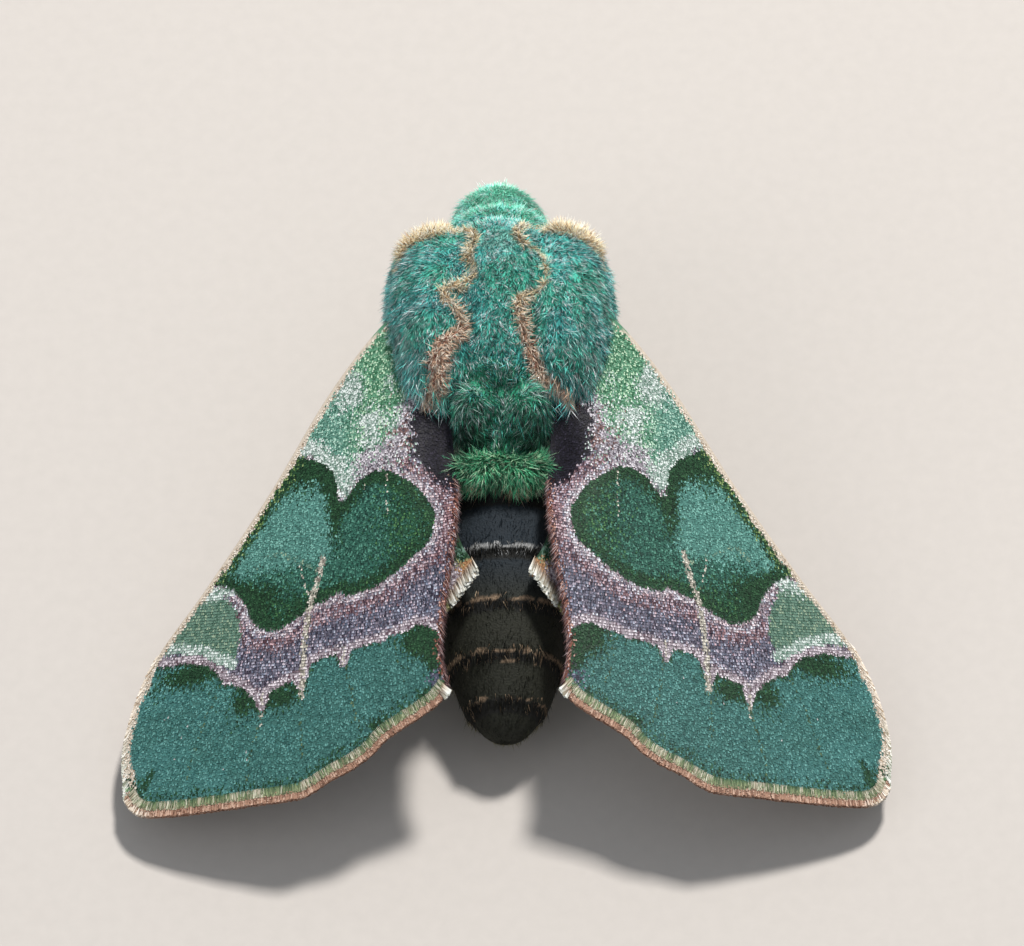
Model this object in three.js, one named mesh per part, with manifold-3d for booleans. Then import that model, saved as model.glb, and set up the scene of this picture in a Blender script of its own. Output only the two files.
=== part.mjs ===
// A green hawk moth at rest, life size, in millimetres, +Z up, +Y towards the head.
// The solids give its outer shape out to the tips of the coat. The wings are
// folded back like a roof, the feelers are tucked under their front edges, and
// six legs hold the body just clear of the floor.
import * as THREE from "three";
import { mergeVertices } from "three/addons/utils/BufferGeometryUtils.js";
import Module from "manifold-3d";

const wasm = await Module();
wasm.setup();

// ---- driving dimensions ------------------------------------------------------

const SEAM = 0.3; // gap between pieces that part the body
const SEGMENT_CUT = 0.12; // width of the thin cut between abdomen rings
const WING_THICKNESS = 0.55;
const CUT_BLOCK = 60; // side of the blocks that part pieces, larger than the moth
const LENGTH_SHIFT = 5.515; // moves the middle of the length onto the origin

// Rounded body forms. front, middle and rear are places along Y, halfWidth is
// measured at the middle, up and down from the centre line, which runs from
// zFront to zRear. noseBlunt, tailBlunt and girth are superellipse exponents.
const TRUNK = {
  front: 6.0, middle: 2.0, rear: -6.5, x: 0, halfWidth: 3.3, up: 5.4, down: 4.1,
  zFront: 6.7, zRear: 6.1, noseBlunt: 2.3, tailBlunt: 2.1, girth: 2.3,
};
const SHOULDER = {
  front: 5.5, middle: 0.8, rear: -4.5, x: 2.7, halfWidth: 2.55, up: 4.3, down: 3.5,
  zFront: 7.1, zRear: 7.5, noseBlunt: 2.5, tailBlunt: 2.0, girth: 2.3,
};
const COLLAR = {
  front: 7.5, middle: 5.0, rear: 2.0, x: 0, halfWidth: 3.0, up: 3.7, down: 3.0,
  zFront: 6.1, zRear: 6.6, noseBlunt: 2.0, tailBlunt: 2.0, girth: 2.1,
};
const HEAD = {
  front: 8.85, middle: 6.7, rear: 4.2, x: 0, halfWidth: 2.2, up: 2.45, down: 2.3,
  zFront: 6.2, zRear: 6.4, noseBlunt: 2.1, tailBlunt: 2.0, girth: 1.9,
};
const EYE = {
  front: 8.1, middle: 7.15, rear: 6.2, x: 1.18, halfWidth: 0.95, up: 1.1, down: 1.15,
  zFront: 5.85, zRear: 5.85, noseBlunt: 2.0, tailBlunt: 2.0, girth: 2.0,
};
const PALP = {
  front: 9.1, middle: 8.3, rear: 7.3, x: 0.6, halfWidth: 0.55, up: 1.25, down: 1.15,
  zFront: 4.9, zRear: 4.4, noseBlunt: 2.2, tailBlunt: 2.0, girth: 2.0,
};
const NAPE_TUFT = {
  front: -2.5, middle: -4.0, rear: -5.6, x: 1.15, halfWidth: 1.25, up: 1.75, down: 2.6,
  zFront: 9.3, zRear: 7.7, noseBlunt: 2.0, tailBlunt: 2.0, girth: 2.1,
};
const CREST = {
  front: -5.3, middle: -6.4, rear: -7.45, x: 0, halfWidth: 2.6, up: 0.95, down: 1.2,
  zFront: 7.8, zRear: 7.3, noseBlunt: 2.2, tailBlunt: 2.2, girth: 2.6,
};
const ABDOMEN = {
  front: -3.2, middle: -8.8, rear: -17.1, x: 0, halfWidth: 3.35, up: 3.15, down: 2.85,
  zFront: 4.9, zRear: 2.35, noseBlunt: 2.0, tailBlunt: 2.0, girth: 2.1,
};
const RING_ENDS = [-7.3, -9.7, -12.2, -14.3, -16.0]; // where one ring ends

// Forewing outline on the right side, in plan: |x| and y.
const FOREWING = {
  lead: [
    [3.3, 1.2], [5.1, 0.4], [7.5, -2.25], [10.15, -6.25],
    [12.95, -9.95], [15.3, -12.9], [16.5, -16.2], [16.5, -18.9],
  ],
  outer: [
    [16.5, -18.9], [16.2, -19.45], [15.5, -19.9], [14.2, -20.13], [12.5, -20.27], [10.5, -20.33],
    [8.9, -20.33], [8.2, -20.12], [7.36, -19.7], [6.4, -19.3], [5.6, -18.8], [5.05, -18.25],
    [4.3, -17.85], [3.37, -17.35], [2.82, -17.0], [2.4, -16.5],
  ],
  inner: [[2.3, -3.4], [1.95, -6.6], [1.92, -9.2], [2.5, -13.1], [2.65, -14.9], [2.4, -16.5]],
};
// Hindwing outline, under the forewing but for its inner corner.
const HINDWING = {
  lead: [[3.6, -0.6], [6.1, -4.0], [8.9, -8.6], [10.9, -12.6]],
  outer: [
    [10.9, -12.6], [10.3, -14.5], [7.7, -15.6], [4.6, -14.7], [2.55, -12.85], [1.8, -11.95],
    [1.2, -11.25],
  ],
  inner: [[2.6, -3.4], [2.5, -6.6], [1.85, -9.5], [1.3, -10.6], [1.2, -11.25]],
};
// The roof that the wings lie in: height over the body's middle line at y = 0,
// fall sideways, fall towards the tail, and how far the middle bows upwards
// between the leading edge's straight line and the inner corner.
const ROOF = { ridge: 10.32, sideSlope: 0.329, tailSlope: 0.184, bow: 0.45 };
const ROOF_LEAD_LINE = { x: 4.0, y: 1.2, dx: 0.521, dy: -0.854, chord: 10.4 };
// Each wing is tucked down against the body beside the crest.
const ROOF_TUCK = { x: 1.8, y: -5.8, depth: 1.3, across: 1.5, along: 2.3 };
const HINDWING_DROP = 0.95; // middle of the hindwing below that of the forewing

// Legs, right side: hip, knee, ankle and toe.
const LEGS = {
  fore: { hip: [1.3, 4.0, 3.5], knee: [3.1, 6.2, 3.5], ankle: [3.3, 7.0, 1.1], toe: [3.6, 9.3, 0] },
  mid: { hip: [1.5, 1.0, 3.0], knee: [4.7, 2.2, 2.9], ankle: [6.0, 1.5, 1.0], toe: [8.0, 0.5, 0] },
  hind: { hip: [1.5, -2.0, 3.4], knee: [4.4, -3.6, 3.6], ankle: [5.3, -6.0, 1.1], toe: [6.3, -8.6, 0] },
};
// Leg lengths narrow to endShare of their radius at both ends, and are widest
// nearer the body for a bulge below 1.
const LIMB = { femur: 0.55, tibia: 0.42, endShare: 0.62, bulge: 0.8 };
// A foot starts rootShare of the way from ankle to toe, comes down to its heel,
// and runs flat on the floor. The heights are those of its centre line.
const FOOT = {
  radius: 0.34, sole: 0.15, heelRise: 0.12, rootShare: 0.06, heelShare: 0.3, ballShare: 0.65,
  tipFrom: 0.95, tipShare: 0.9,
};

const ANTENNA = {
  route: [
    [1.55, 7.15, 7.42], [2.12, 6.35, 6.35], [2.85, 5.6, 5.0], [3.8, 4.2, 3.95],
    [4.45, 2.2, 3.2], [4.8, 0.4, 3.15], [5.0, -1.2, 3.8], [5.2, -2.3, 4.7],
  ],
  radius: 0.3,
  endShare: 0.85, // radius at the root against the middle
  taperFrom: 0.8, // share of the length where the point begins
  taper: 0.4,
};
const TONGUE = { centre: [0, 8.15, 3.2], coil: 0.42, radius: 0.26, turn: 1.55 * Math.PI };

// Faces around and along each kind of form.
const BODY_FACES = [16, 11];
const SMALL_FACES = [10, 7];
const HEAD_FACES = [16, 8];
const CREST_FACES = [14, 8];
const ABDOMEN_FACES = [16, 18];
const FOREWING_FACES = [11, 15];
const HINDWING_FACES = [8, 6];
const LIMB_FACES = [6, 4];
const FOOT_FACES = [6, 6];
const ANTENNA_FACES = [6, 11];

// ---- finishes ----------------------------------------------------------------

function finish(color, roughness) {
  return new THREE.MeshStandardMaterial({ color, roughness, metalness: 0 });
}
const green = finish(0x4e8b80, 0.9);
const deepGreen = finish(0x43745f, 0.9);
const tailDark = finish(0x25292c, 0.9);
const wingGreen = finish(0x41655f, 0.8);
const wingBelow = finish(0x8a7a58, 0.8);
const eyeDark = finish(0x1b1712, 0.15);
const hornTan = finish(0xb9a987, 0.7);
const legTan = finish(0x9d9078, 0.85);

const moth = new THREE.Group();

// ---- shapes ------------------------------------------------------------------

function power(value, exponent) {
  return Math.sign(value) * Math.abs(value) ** exponent;
}

// A closed rounded form, with its poles at the front and rear.
function roundForm(form, side, faces, grow = 0) {
  const geometry = new THREE.SphereGeometry(1, ...faces);
  const place = geometry.attributes.position;
  for (let i = 0; i < place.count; i += 1) {
    const angle = Math.acos(THREE.MathUtils.clamp(place.getY(i), -1, 1));
    const ring = Math.sin(angle);
    const cross = Math.atan2(place.getZ(i), place.getX(i));
    const ahead = Math.cos(angle);
    const reach = ahead > 0 ? form.front - form.middle : form.middle - form.rear;
    const blunt = ahead > 0 ? form.noseBlunt : form.tailBlunt;
    const y = form.middle + (reach + grow) * power(ahead, 2 / blunt);
    const swell = power(ring, 2 / blunt);
    const sideways = power(Math.cos(cross), 2 / form.girth);
    const upright = power(Math.sin(cross), 2 / form.girth);
    const height = (upright > 0 ? form.up : form.down) + grow;
    const share = (y - form.rear) / (form.front - form.rear);
    const centre = THREE.MathUtils.lerp(form.zRear, form.zFront, share);
    const x = side * form.x + (form.halfWidth + grow) * swell * sideways;
    place.setXYZ(i, x, y, centre + height * swell * upright);
  }
  return turnedOut(geometry);
}

// Keeps only positions, welds them, and makes the faces point outwards.
function turnedOut(geometry) {
  geometry.deleteAttribute("normal");
  geometry.deleteAttribute("uv");
  const welded = mergeVertices(geometry, 1e-4);
  if (signedVolume(welded) < 0) {
    const order = welded.index.array;
    for (let i = 0; i < order.length; i += 3) {
      [order[i], order[i + 1]] = [order[i + 1], order[i]];
    }
  }
  return welded;
}

function signedVolume(geometry) {
  const place = geometry.attributes.position;
  const order = geometry.index.array;
  const corner = [new THREE.Vector3(), new THREE.Vector3(), new THREE.Vector3()];
  let volume = 0;
  for (let i = 0; i < order.length; i += 3) {
    corner.forEach((point, k) => point.fromBufferAttribute(place, order[i + k]));
    volume += corner[0].dot(corner[1].cross(corner[2])) / 6;
  }
  return volume;
}

// A closed tube along a smooth curve, whose radius changes with the share run.
function tube(points, radiusAt, faces) {
  const curve = new THREE.CatmullRomCurve3(points.map((point) => new THREE.Vector3(...point)));
  const geometry = new THREE.CylinderGeometry(1, 1, 1, ...faces);
  const place = geometry.attributes.position;
  const up = new THREE.Vector3(0, 0, 1);
  for (let i = 0; i < place.count; i += 1) {
    const share = THREE.MathUtils.clamp(place.getY(i) + 0.5, 0, 1);
    const tangent = curve.getTangentAt(share);
    const across = new THREE.Vector3().crossVectors(tangent, up).normalize();
    const above = new THREE.Vector3().crossVectors(across, tangent).normalize();
    const radius = radiusAt(share);
    const point = curve.getPointAt(share);
    point.addScaledVector(across, radius * place.getX(i));
    point.addScaledVector(above, radius * place.getZ(i));
    place.setXYZ(i, point.x, point.y, Math.max(point.z, 0));
  }
  return turnedOut(geometry);
}

// Height of the roof's middle surface over a place in plan.
function roofHeight(x, y) {
  const line = ROOF_LEAD_LINE;
  const inward = (Math.abs(x) - line.x) * line.dy - (y - line.y) * line.dx;
  const share = inward / line.chord;
  const bow = 4 * ROOF.bow * share * (1 - share);
  const across = (Math.abs(x) - ROOF_TUCK.x) / ROOF_TUCK.across;
  const along = (y - ROOF_TUCK.y) / ROOF_TUCK.along;
  const tuck = ROOF_TUCK.depth * Math.exp(-(across ** 2) - along ** 2);
  return ROOF.ridge - ROOF.sideSlope * Math.abs(x) + ROOF.tailSlope * y + bow - tuck;
}

function planCurve(points) {
  return new THREE.CatmullRomCurve3(points.map(([x, y]) => new THREE.Vector3(x, y, 0)));
}

// A wing as a thin plate: a box whose plan is stretched between the outline's
// four edges and whose faces follow the roof.
function wing(outline, side, drop, faces) {
  const lead = planCurve(outline.lead);
  const inner = planCurve(outline.inner);
  const outer = planCurve(outline.outer);
  const geometry = new THREE.BoxGeometry(1, 1, 1, ...faces, 1);
  const place = geometry.attributes.position;
  const root = [lead.getPointAt(0), inner.getPointAt(0)];
  const tip = [lead.getPointAt(1), inner.getPointAt(1)];
  for (let i = 0; i < place.count; i += 1) {
    const u = THREE.MathUtils.clamp(place.getX(i) + 0.5, 0, 1);
    const v = THREE.MathUtils.clamp(place.getY(i) + 0.5, 0, 1);
    const edges = lead.getPointAt(u).lerp(inner.getPointAt(u), v);
    const base = root[0].clone().lerp(root[1], v);
    const end = outer.getPointAt(v);
    const corners = base.clone().lerp(tip[0].clone().lerp(tip[1], v), u);
    const plan = edges.add(base.lerp(end, u)).sub(corners);
    const z = roofHeight(plan.x, plan.y) - drop + WING_THICKNESS * place.getZ(i);
    place.setXYZ(i, side * plan.x, plan.y, z);
  }
  return turnedOut(geometry);
}

// ---- solids ------------------------------------------------------------------

function solid(geometry) {
  return new wasm.Manifold(new wasm.Mesh({
    numProp: 3,
    vertProperties: new Float32Array(geometry.attributes.position.array),
    triVerts: new Uint32Array(geometry.index.array),
  }));
}

// The largest single body of a cut solid, as a geometry.
function largestBody(shape) {
  const bodies = shape.decompose();
  bodies.sort((a, b) => b.volume() - a.volume());
  const mesh = bodies[0].getMesh();
  const geometry = new THREE.BufferGeometry();
  geometry.setAttribute("position", new THREE.BufferAttribute(mesh.vertProperties, 3));
  geometry.setIndex(new THREE.BufferAttribute(mesh.triVerts, 1));
  return geometry;
}

function addMesh(name, geometry, material) {
  const mesh = new THREE.Mesh(geometry, material);
  mesh.name = name;
  moth.add(mesh);
}

function cut(shape, tools) {
  return tools.reduce((rest, tool) => rest.subtract(tool), shape);
}

// A big block whose face nearest the tail or the head lies at y.
function blockFrom(y, towards) {
  const block = new THREE.BoxGeometry(CUT_BLOCK, CUT_BLOCK, CUT_BLOCK);
  block.translate(0, y + (towards * CUT_BLOCK) / 2, 0);
  return solid(turnedOut(block));
}

// A thin upright block on the middle line, which parts left from right.
function midline(width) {
  return solid(turnedOut(new THREE.BoxGeometry(width, CUT_BLOCK, CUT_BLOCK)));
}

const SIDES = [["left", -1], ["right", 1]];
const bodyForm = (form, side, grow = 0) => solid(roundForm(form, side, BODY_FACES, grow));
const smallForm = (form, side, grow = 0) => solid(roundForm(form, side, SMALL_FACES, grow));

// ---- head --------------------------------------------------------------------

function addHead() {
  const tools = [];
  for (const [name, side] of SIDES) {
    addMesh(`eye_${name}`, roundForm(EYE, side, SMALL_FACES), eyeDark);
    tools.push(smallForm(EYE, side, SEAM / 2));
    const palp = cut(smallForm(PALP, side), [smallForm(EYE, side, SEAM)]);
    addMesh(`palp_${name}`, largestBody(cut(palp, [midline(SEAM / 2)])), green);
    tools.push(smallForm(PALP, side, SEAM));
    tools.push(solid(antennaShape(side, SEAM / 2)));
  }
  addMesh("head", largestBody(cut(solid(roundForm(HEAD, 1, HEAD_FACES)), tools)), green);
  addMesh("proboscis", tongueShape(0), hornTan);
}

// The feeler is thickest past its middle and ends in a fine point.
function antennaShape(side, grow) {
  const route = ANTENNA.route.map(([x, y, z]) => [side * x, y, z]);
  const radiusAt = (share) => {
    const past = Math.max(share - ANTENNA.taperFrom, 0) / (1 - ANTENNA.taperFrom);
    const swell = THREE.MathUtils.lerp(ANTENNA.endShare, 1, Math.sin(Math.PI * share));
    return ANTENNA.radius * swell * (1 - ANTENNA.taper * past ** 2) + grow;
  };
  return tube(route, radiusAt, ANTENNA_FACES);
}

// A short coiled tongue under the palps.
function tongueShape(grow) {
  const [x, y, z] = TONGUE.centre;
  const points = [];
  const steps = 7;
  for (let i = 0; i <= steps; i += 1) {
    const angle = Math.PI / 2 - (TONGUE.turn * i) / steps;
    points.push([x, y + TONGUE.coil * Math.cos(angle), z + TONGUE.coil * Math.sin(angle)]);
  }
  const curve = new THREE.CatmullRomCurve3(points.map((point) => new THREE.Vector3(...point)));
  const circle = new THREE.Shape().absarc(0, 0, TONGUE.radius + grow, 0, 2 * Math.PI);
  const settings = { steps: 8, curveSegments: 4, extrudePath: curve };
  return turnedOut(new THREE.ExtrudeGeometry(circle, settings));
}

// ---- thorax and abdomen ------------------------------------------------------

const headBlock = () => bodyForm(HEAD, 1, SEAM);
const shoulderTools = () => SIDES.map(([, side]) => bodyForm(SHOULDER, side, SEAM));

function addThorax() {
  const antennae = SIDES.map(([, side]) => solid(antennaShape(side, SEAM / 2)));
  const crest = smallForm(CREST, 1, SEAM);
  const napes = SIDES.map(([, side]) => smallForm(NAPE_TUFT, side));
  const collarTools = [headBlock(), bodyForm(TRUNK, 1, SEAM), ...shoulderTools(), ...antennae];
  addMesh("collar", largestBody(cut(bodyForm(COLLAR, 1), collarTools)), green);
  const thorax = napes.reduce((sum, nape) => sum.add(nape), bodyForm(TRUNK, 1));
  addMesh("thorax", largestBody(cut(thorax, [...shoulderTools(), headBlock(), crest])), green);
  for (const [name, side] of SIDES) {
    const tools = [headBlock(), midline(SEAM)];
    addMesh(`tegula_${name}`, largestBody(cut(bodyForm(SHOULDER, side), tools)), green);
  }
  addMesh("crest", roundForm(CREST, 1, CREST_FACES), deepGreen);
}

const thoraxTools = () => [
  bodyForm(TRUNK, 1, SEAM),
  smallForm(CREST, 1, SEAM),
  ...shoulderTools(),
  ...SIDES.map(([, side]) => smallForm(NAPE_TUFT, side, SEAM)),
];

function addAbdomen() {
  const whole = cut(solid(roundForm(ABDOMEN, 1, ABDOMEN_FACES)), thoraxTools());
  const starts = [0, ...RING_ENDS.map((y) => y - SEGMENT_CUT)];
  starts.forEach((start, i) => {
    const last = i === starts.length - 1;
    const name = last ? "abdomen_tip" : `abdomen_${i + 1}`;
    const tools = [blockFrom(start, 1)];
    if (!last) {
      tools.push(blockFrom(RING_ENDS[i], -1));
    }
    addMesh(name, largestBody(cut(whole, tools)), tailDark);
  });
}

// ---- wings -------------------------------------------------------------------

function addWings() {
  const tools = [...thoraxTools(), bodyForm(ABDOMEN, 1, SEAM)];
  for (const [name, side] of SIDES) {
    const fore = solid(wing(FOREWING, side, 0, FOREWING_FACES));
    addMesh(`forewing_${name}`, largestBody(cut(fore, tools)), wingGreen);
    const hind = solid(wing(HINDWING, side, HINDWING_DROP, HINDWING_FACES));
    addMesh(`hindwing_${name}`, largestBody(cut(hind, tools)), wingBelow);
  }
}

// ---- legs --------------------------------------------------------------------

// A leg length, thickest before its middle and rounded off at both ends.
function limb(from, to, radius, shrink) {
  const start = new THREE.Vector3(...from);
  const end = new THREE.Vector3(...to);
  const trim = start.clone().sub(end).setLength(shrink);
  const first = start.clone().sub(trim);
  const last = end.clone().add(trim);
  const points = [first, first.clone().lerp(last, 0.5), last].map((point) => point.toArray());
  const swellAt = (share) => Math.sin(Math.PI * share ** LIMB.bulge);
  const radiusAt = (share) => radius * THREE.MathUtils.lerp(LIMB.endShare, 1, swellAt(share));
  return tube(points, radiusAt, LIMB_FACES);
}

// A foot, from just under the shin to the claws, flat on the floor past its heel.
function tarsus(ankle, toe) {
  const between = (share, height) => [
    THREE.MathUtils.lerp(ankle[0], toe[0], share),
    THREE.MathUtils.lerp(ankle[1], toe[1], share),
    height,
  ];
  const points = [
    between(FOOT.rootShare, ankle[2] - SEAM / 2),
    between(FOOT.heelShare, FOOT.sole + FOOT.heelRise),
    between(FOOT.ballShare, FOOT.sole),
    between(1, FOOT.sole),
  ];
  const radiusAt = (share) => FOOT.radius * (share > FOOT.tipFrom ? FOOT.tipShare : 1);
  return tube(points, radiusAt, FOOT_FACES);
}

function addLegs() {
  const tools = [
    ...[TRUNK, COLLAR, ABDOMEN].map((form) => bodyForm(form, 1, SEAM)),
    ...shoulderTools(),
    ...SIDES.map(([, side]) => solid(antennaShape(side, SEAM))),
  ];
  for (const [pair, joints] of Object.entries(LEGS)) {
    for (const [name, side] of SIDES) {
      const [hip, knee, ankle, toe] = ["hip", "knee", "ankle", "toe"].map((joint) => {
        const [x, y, z] = joints[joint];
        return [side * x, y, z];
      });
      const femur = solid(limb(hip, knee, LIMB.femur, SEAM / 2));
      addMesh(`femur_${pair}_${name}`, largestBody(cut(femur, tools)), legTan);
      const tibia = solid(limb(knee, ankle, LIMB.tibia, SEAM / 2));
      addMesh(`tibia_${pair}_${name}`, largestBody(cut(tibia, tools)), legTan);
      addMesh(`tarsus_${pair}_${name}`, tarsus(ankle, toe), legTan);
    }
  }
}

addHead();
for (const [name, side] of SIDES) {
  addMesh(`antenna_${name}`, antennaShape(side, 0), hornTan);
}
addThorax();
addAbdomen();
addWings();
addLegs();
moth.position.y = LENGTH_SHIFT;

export default moth;
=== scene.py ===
"""Looks of a green hawk moth at rest, life size.

One skin covers the rounded forms of the body. Hair stands on the skin and flat
scales lie on the wings, and skin, hair and scales share the same markings.
Sizes are in millimetres from the moth's own origin, between the wing bases, and
are turned into metres of the shared frame when a mesh is made.
"""
import logging
import math
from collections.abc import Callable, Iterable, Sequence
from dataclasses import dataclass, fields, replace
from enum import Enum
from itertools import product

import bmesh
import bpy
import numpy as np
from bmesh.types import BMesh, BMVert
from bpy.types import ID, Material, Mesh, Node, NodeSocket, Object
from mathutils import Matrix, Vector


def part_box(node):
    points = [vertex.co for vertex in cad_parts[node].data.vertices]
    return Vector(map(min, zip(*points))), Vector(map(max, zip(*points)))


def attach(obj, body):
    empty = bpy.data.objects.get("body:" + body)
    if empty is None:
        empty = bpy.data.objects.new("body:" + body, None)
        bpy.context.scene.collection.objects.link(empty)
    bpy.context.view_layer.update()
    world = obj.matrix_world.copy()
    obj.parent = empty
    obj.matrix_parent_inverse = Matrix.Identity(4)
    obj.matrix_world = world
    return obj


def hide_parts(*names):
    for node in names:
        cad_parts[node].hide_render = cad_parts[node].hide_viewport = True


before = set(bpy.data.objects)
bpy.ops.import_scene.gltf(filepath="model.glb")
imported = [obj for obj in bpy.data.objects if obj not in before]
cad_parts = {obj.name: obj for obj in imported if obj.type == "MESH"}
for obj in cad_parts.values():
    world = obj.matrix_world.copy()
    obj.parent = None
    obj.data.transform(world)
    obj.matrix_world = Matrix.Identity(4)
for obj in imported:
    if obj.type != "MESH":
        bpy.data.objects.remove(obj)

logging.basicConfig(level=logging.INFO, format="%(message)s")
log = logging.getLogger("moth")

Array = np.ndarray
Rng = np.random.Generator
Colour = tuple[float, float, float]  # red, green and blue from 0 to 255
Place = tuple[float, float, float]
Points = Sequence[Sequence[float]]

MM = 0.001
PALP_FRONT = 9.1  # the foremost point of the palps in the moth's own lengths
SHIFT = np.array([0.0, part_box("palp_left")[1].y / MM - PALP_FRONT, 0.0])
SIDES = {"left": -1, "right": 1}
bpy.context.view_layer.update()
BLOCK = 4000  # places that are measured against a line at one time


# ---- small maths ----


def tint(red: float, green: float, blue: float) -> Array:
    """A display colour of 0 to 255 as linear light."""
    shown = np.array([red, green, blue]) / 255
    return np.where(shown > 0.04045, ((shown + 0.055) / 1.055) ** 2.4, shown / 12.92)


def ramp(low: float, high: float, value: Array) -> Array:
    """Smooth rise from 0 at low to 1 at high; low may be above high."""
    share = np.clip((value - low) / (high - low), 0, 1)
    return share * share * (3 - 2 * share)


def between(first: Array, second: Array, share: Array | float) -> Array:
    """Mixes two rows of vectors by a share for each row."""
    share = np.asarray(share)[..., None]
    return first * (1 - share) + second * share


def unit(vectors: Array) -> Array:
    """Vectors brought to length 1."""
    return vectors / np.maximum(np.linalg.norm(vectors, axis=-1, keepdims=True), 1e-9)


def blob(places: Array, centre: tuple[float, ...], radii: tuple[float, ...]) -> Array:
    """A soft round spot: 1 at the centre and fading with distance."""
    return np.exp(-(((places - centre) / radii) ** 2).sum(-1))


def curve_through(points: Points, steps: int = 8, closed: bool = False) -> Array:
    """A smooth line through a few points.

    Args:
        points: the points that the line passes through.
        steps: places on the line for each point.
        closed: joins the last point to the first.

    Returns:
        Places along the line.
    """
    given = np.array(points, float)
    if closed:
        knots = np.vstack([given[-1:], given, given[:2]])
    else:
        knots = np.vstack([2 * given[0] - given[1], given, 2 * given[-1] - given[-2]])
    share = np.linspace(0, 1, steps, endpoint=False)[:, None]
    rows = []
    for a, b, c, d in zip(knots, knots[1:], knots[2:], knots[3:]):
        bend = (2 * a - 5 * b + 4 * c - d) * share**2 + (3 * b - a - 3 * c + d) * share**3
        rows.append(b + 0.5 * ((c - a) * share + bend))
    return np.vstack(rows if closed else [*rows, given[-1:]])


def nearest(line: Array, places: Array) -> tuple[Array, Array]:
    """How far places are from a line.

    Args:
        line: places along the line.
        places: rows of the same number of coordinates.

    Returns:
        The distance of each place, and the length along the line of its nearest point.
    """
    start, step = line[:-1], np.diff(line, axis=0)
    reach = np.maximum((step**2).sum(-1), 1e-12)
    run = np.concatenate([[0], np.cumsum(np.sqrt(reach))])[:-1]
    far, along = np.empty(len(places)), np.empty(len(places))
    for at in range(0, len(places), BLOCK):
        gap = places[at : at + BLOCK, None, :] - start
        share = np.clip((gap * step).sum(-1) / reach, 0, 1)
        off = ((gap - share[..., None] * step) ** 2).sum(-1)
        pick = off.argmin(1)
        row = np.arange(len(pick))
        far[at : at + BLOCK] = np.sqrt(off[row, pick])
        along[at : at + BLOCK] = run[pick] + share[row, pick] * np.sqrt(reach[pick])
    return far, along


def depth_in(outline: Array, places: Array) -> Array:
    """Distance to a closed outline, above 0 inside it and below 0 outside."""
    ring = np.vstack([outline, outline[:1]])
    far, _ = nearest(ring, places)
    x, y = places[:, 0], places[:, 1]
    odd = np.zeros(len(places), bool)
    for (x0, y0), (x1, y1) in zip(ring, ring[1:]):
        if y0 != y1:
            crosses = (y0 > y) != (y1 > y)
            odd ^= crosses & (x < (x1 - x0) * (y - y0) / (y1 - y0) + x0)
    return np.where(odd, far, -far)


class Route:
    """A line that is read by length."""

    def __init__(self, line: Array) -> None:
        """Measures the line."""
        self.line = line
        steps = np.linalg.norm(np.diff(line, axis=0), axis=1)
        self.run = np.concatenate([[0], np.cumsum(steps)])

    def at(self, run: Array) -> Array:
        """Places at lengths along the line."""
        return np.stack([np.interp(run, self.run, axis) for axis in self.line.T], -1)

    def share(self, share: Array) -> Array:
        """Places at shares of the whole length."""
        return self.at(share * self.run[-1])

    def axes(self, share: Array, step: float) -> tuple[Array, Array, Array, Array]:
        """Where a tube's rings lie and how they are turned.

        Args:
            share: shares of the whole length.
            step: how far to either side the line's direction is measured.

        Returns:
            Places, and the directions ahead, across and above.
        """
        moves = (0, -step, step)
        spot, behind, ahead = (self.share(np.clip(share + move, 0, 1)) for move in moves)
        tangent = unit(ahead - behind)
        across = unit(np.cross(tangent, (0.05, 0.02, 1)))
        return spot, tangent, across, np.cross(across, tangent)


@dataclass(frozen=True)
class SoftNoise:
    """Smooth random values over space, from -1 to 1, the same at every run."""

    size: float
    seed: int = 1
    keys = np.array([73856093, 19349663, 83492791])  # large primes that part the cells
    spread = (2654435761, 97561, 1274126177)  # odd factors that stir their numbers
    low_bits = 0xFFFFFFFF

    def at(self, places: Array) -> Array:
        """The value at each place."""
        cell = np.floor(places / self.size).astype(np.int64)
        part = places / self.size - cell
        part = part * part * (3 - 2 * part)
        keys = self.keys[: places.shape[1]]
        total = np.zeros(len(places))
        for corner in product((0, 1), repeat=places.shape[1]):
            mixed = ((cell + corner) * keys).sum(1) * self.spread[0] + self.seed * self.spread[1]
            mixed = (mixed ^ (mixed >> 13)) & self.low_bits
            mixed = (mixed * self.spread[2]) & self.low_bits
            value = (mixed & 0xFFFF) / 32767.5 - 1
            total += value * np.where(corner, part, 1 - part).prod(1)
        return total


# ---- meshes ----


def to_frame(places: Array) -> Array:
    """The moth's own millimetres as metres of the shared frame."""
    return (places + SHIFT) * MM


def add_object(name: str, data: ID) -> Object:
    """Puts a mesh, a light or a camera into the scene."""
    made = bpy.data.objects.new(name, data)
    bpy.context.scene.collection.objects.link(made)
    return made


def move_vertices(verts: Iterable[BMVert], places: Array) -> None:
    """Moves vertices to places."""
    for vertex, place in zip(verts, places):
        vertex.co = place


def bmesh_object(name: str, bm: BMesh) -> Object:
    """Turns a bmesh in the moth's millimetres into a smooth object of the shared frame.

    Args:
        name: the piece's name.
        bm: the finished bmesh, which is freed.

    Returns:
        The new object.
    """
    bmesh.ops.translate(bm, verts=bm.verts, vec=Vector(SHIFT))
    bmesh.ops.scale(bm, verts=bm.verts, vec=(MM, MM, MM))
    bmesh.ops.recalc_face_normals(bm, faces=bm.faces)
    mesh = bpy.data.meshes.new(name)
    bm.to_mesh(mesh)
    bm.free()
    mesh.polygons.foreach_set("use_smooth", [True] * len(mesh.polygons))
    return add_object(name, mesh)


def settle(piece: Object, slot: str, *nodes: str) -> None:
    """Makes a piece part of the moth.

    Args:
        piece: the finished piece.
        slot: the record's material slot; not used.
        nodes: the CAD nodes that the piece stands for.
    """
    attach(piece, "root")
    if nodes:
        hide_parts(*nodes)
    log.info("%s: %d faces", piece.name, len(piece.data.polygons))


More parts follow.
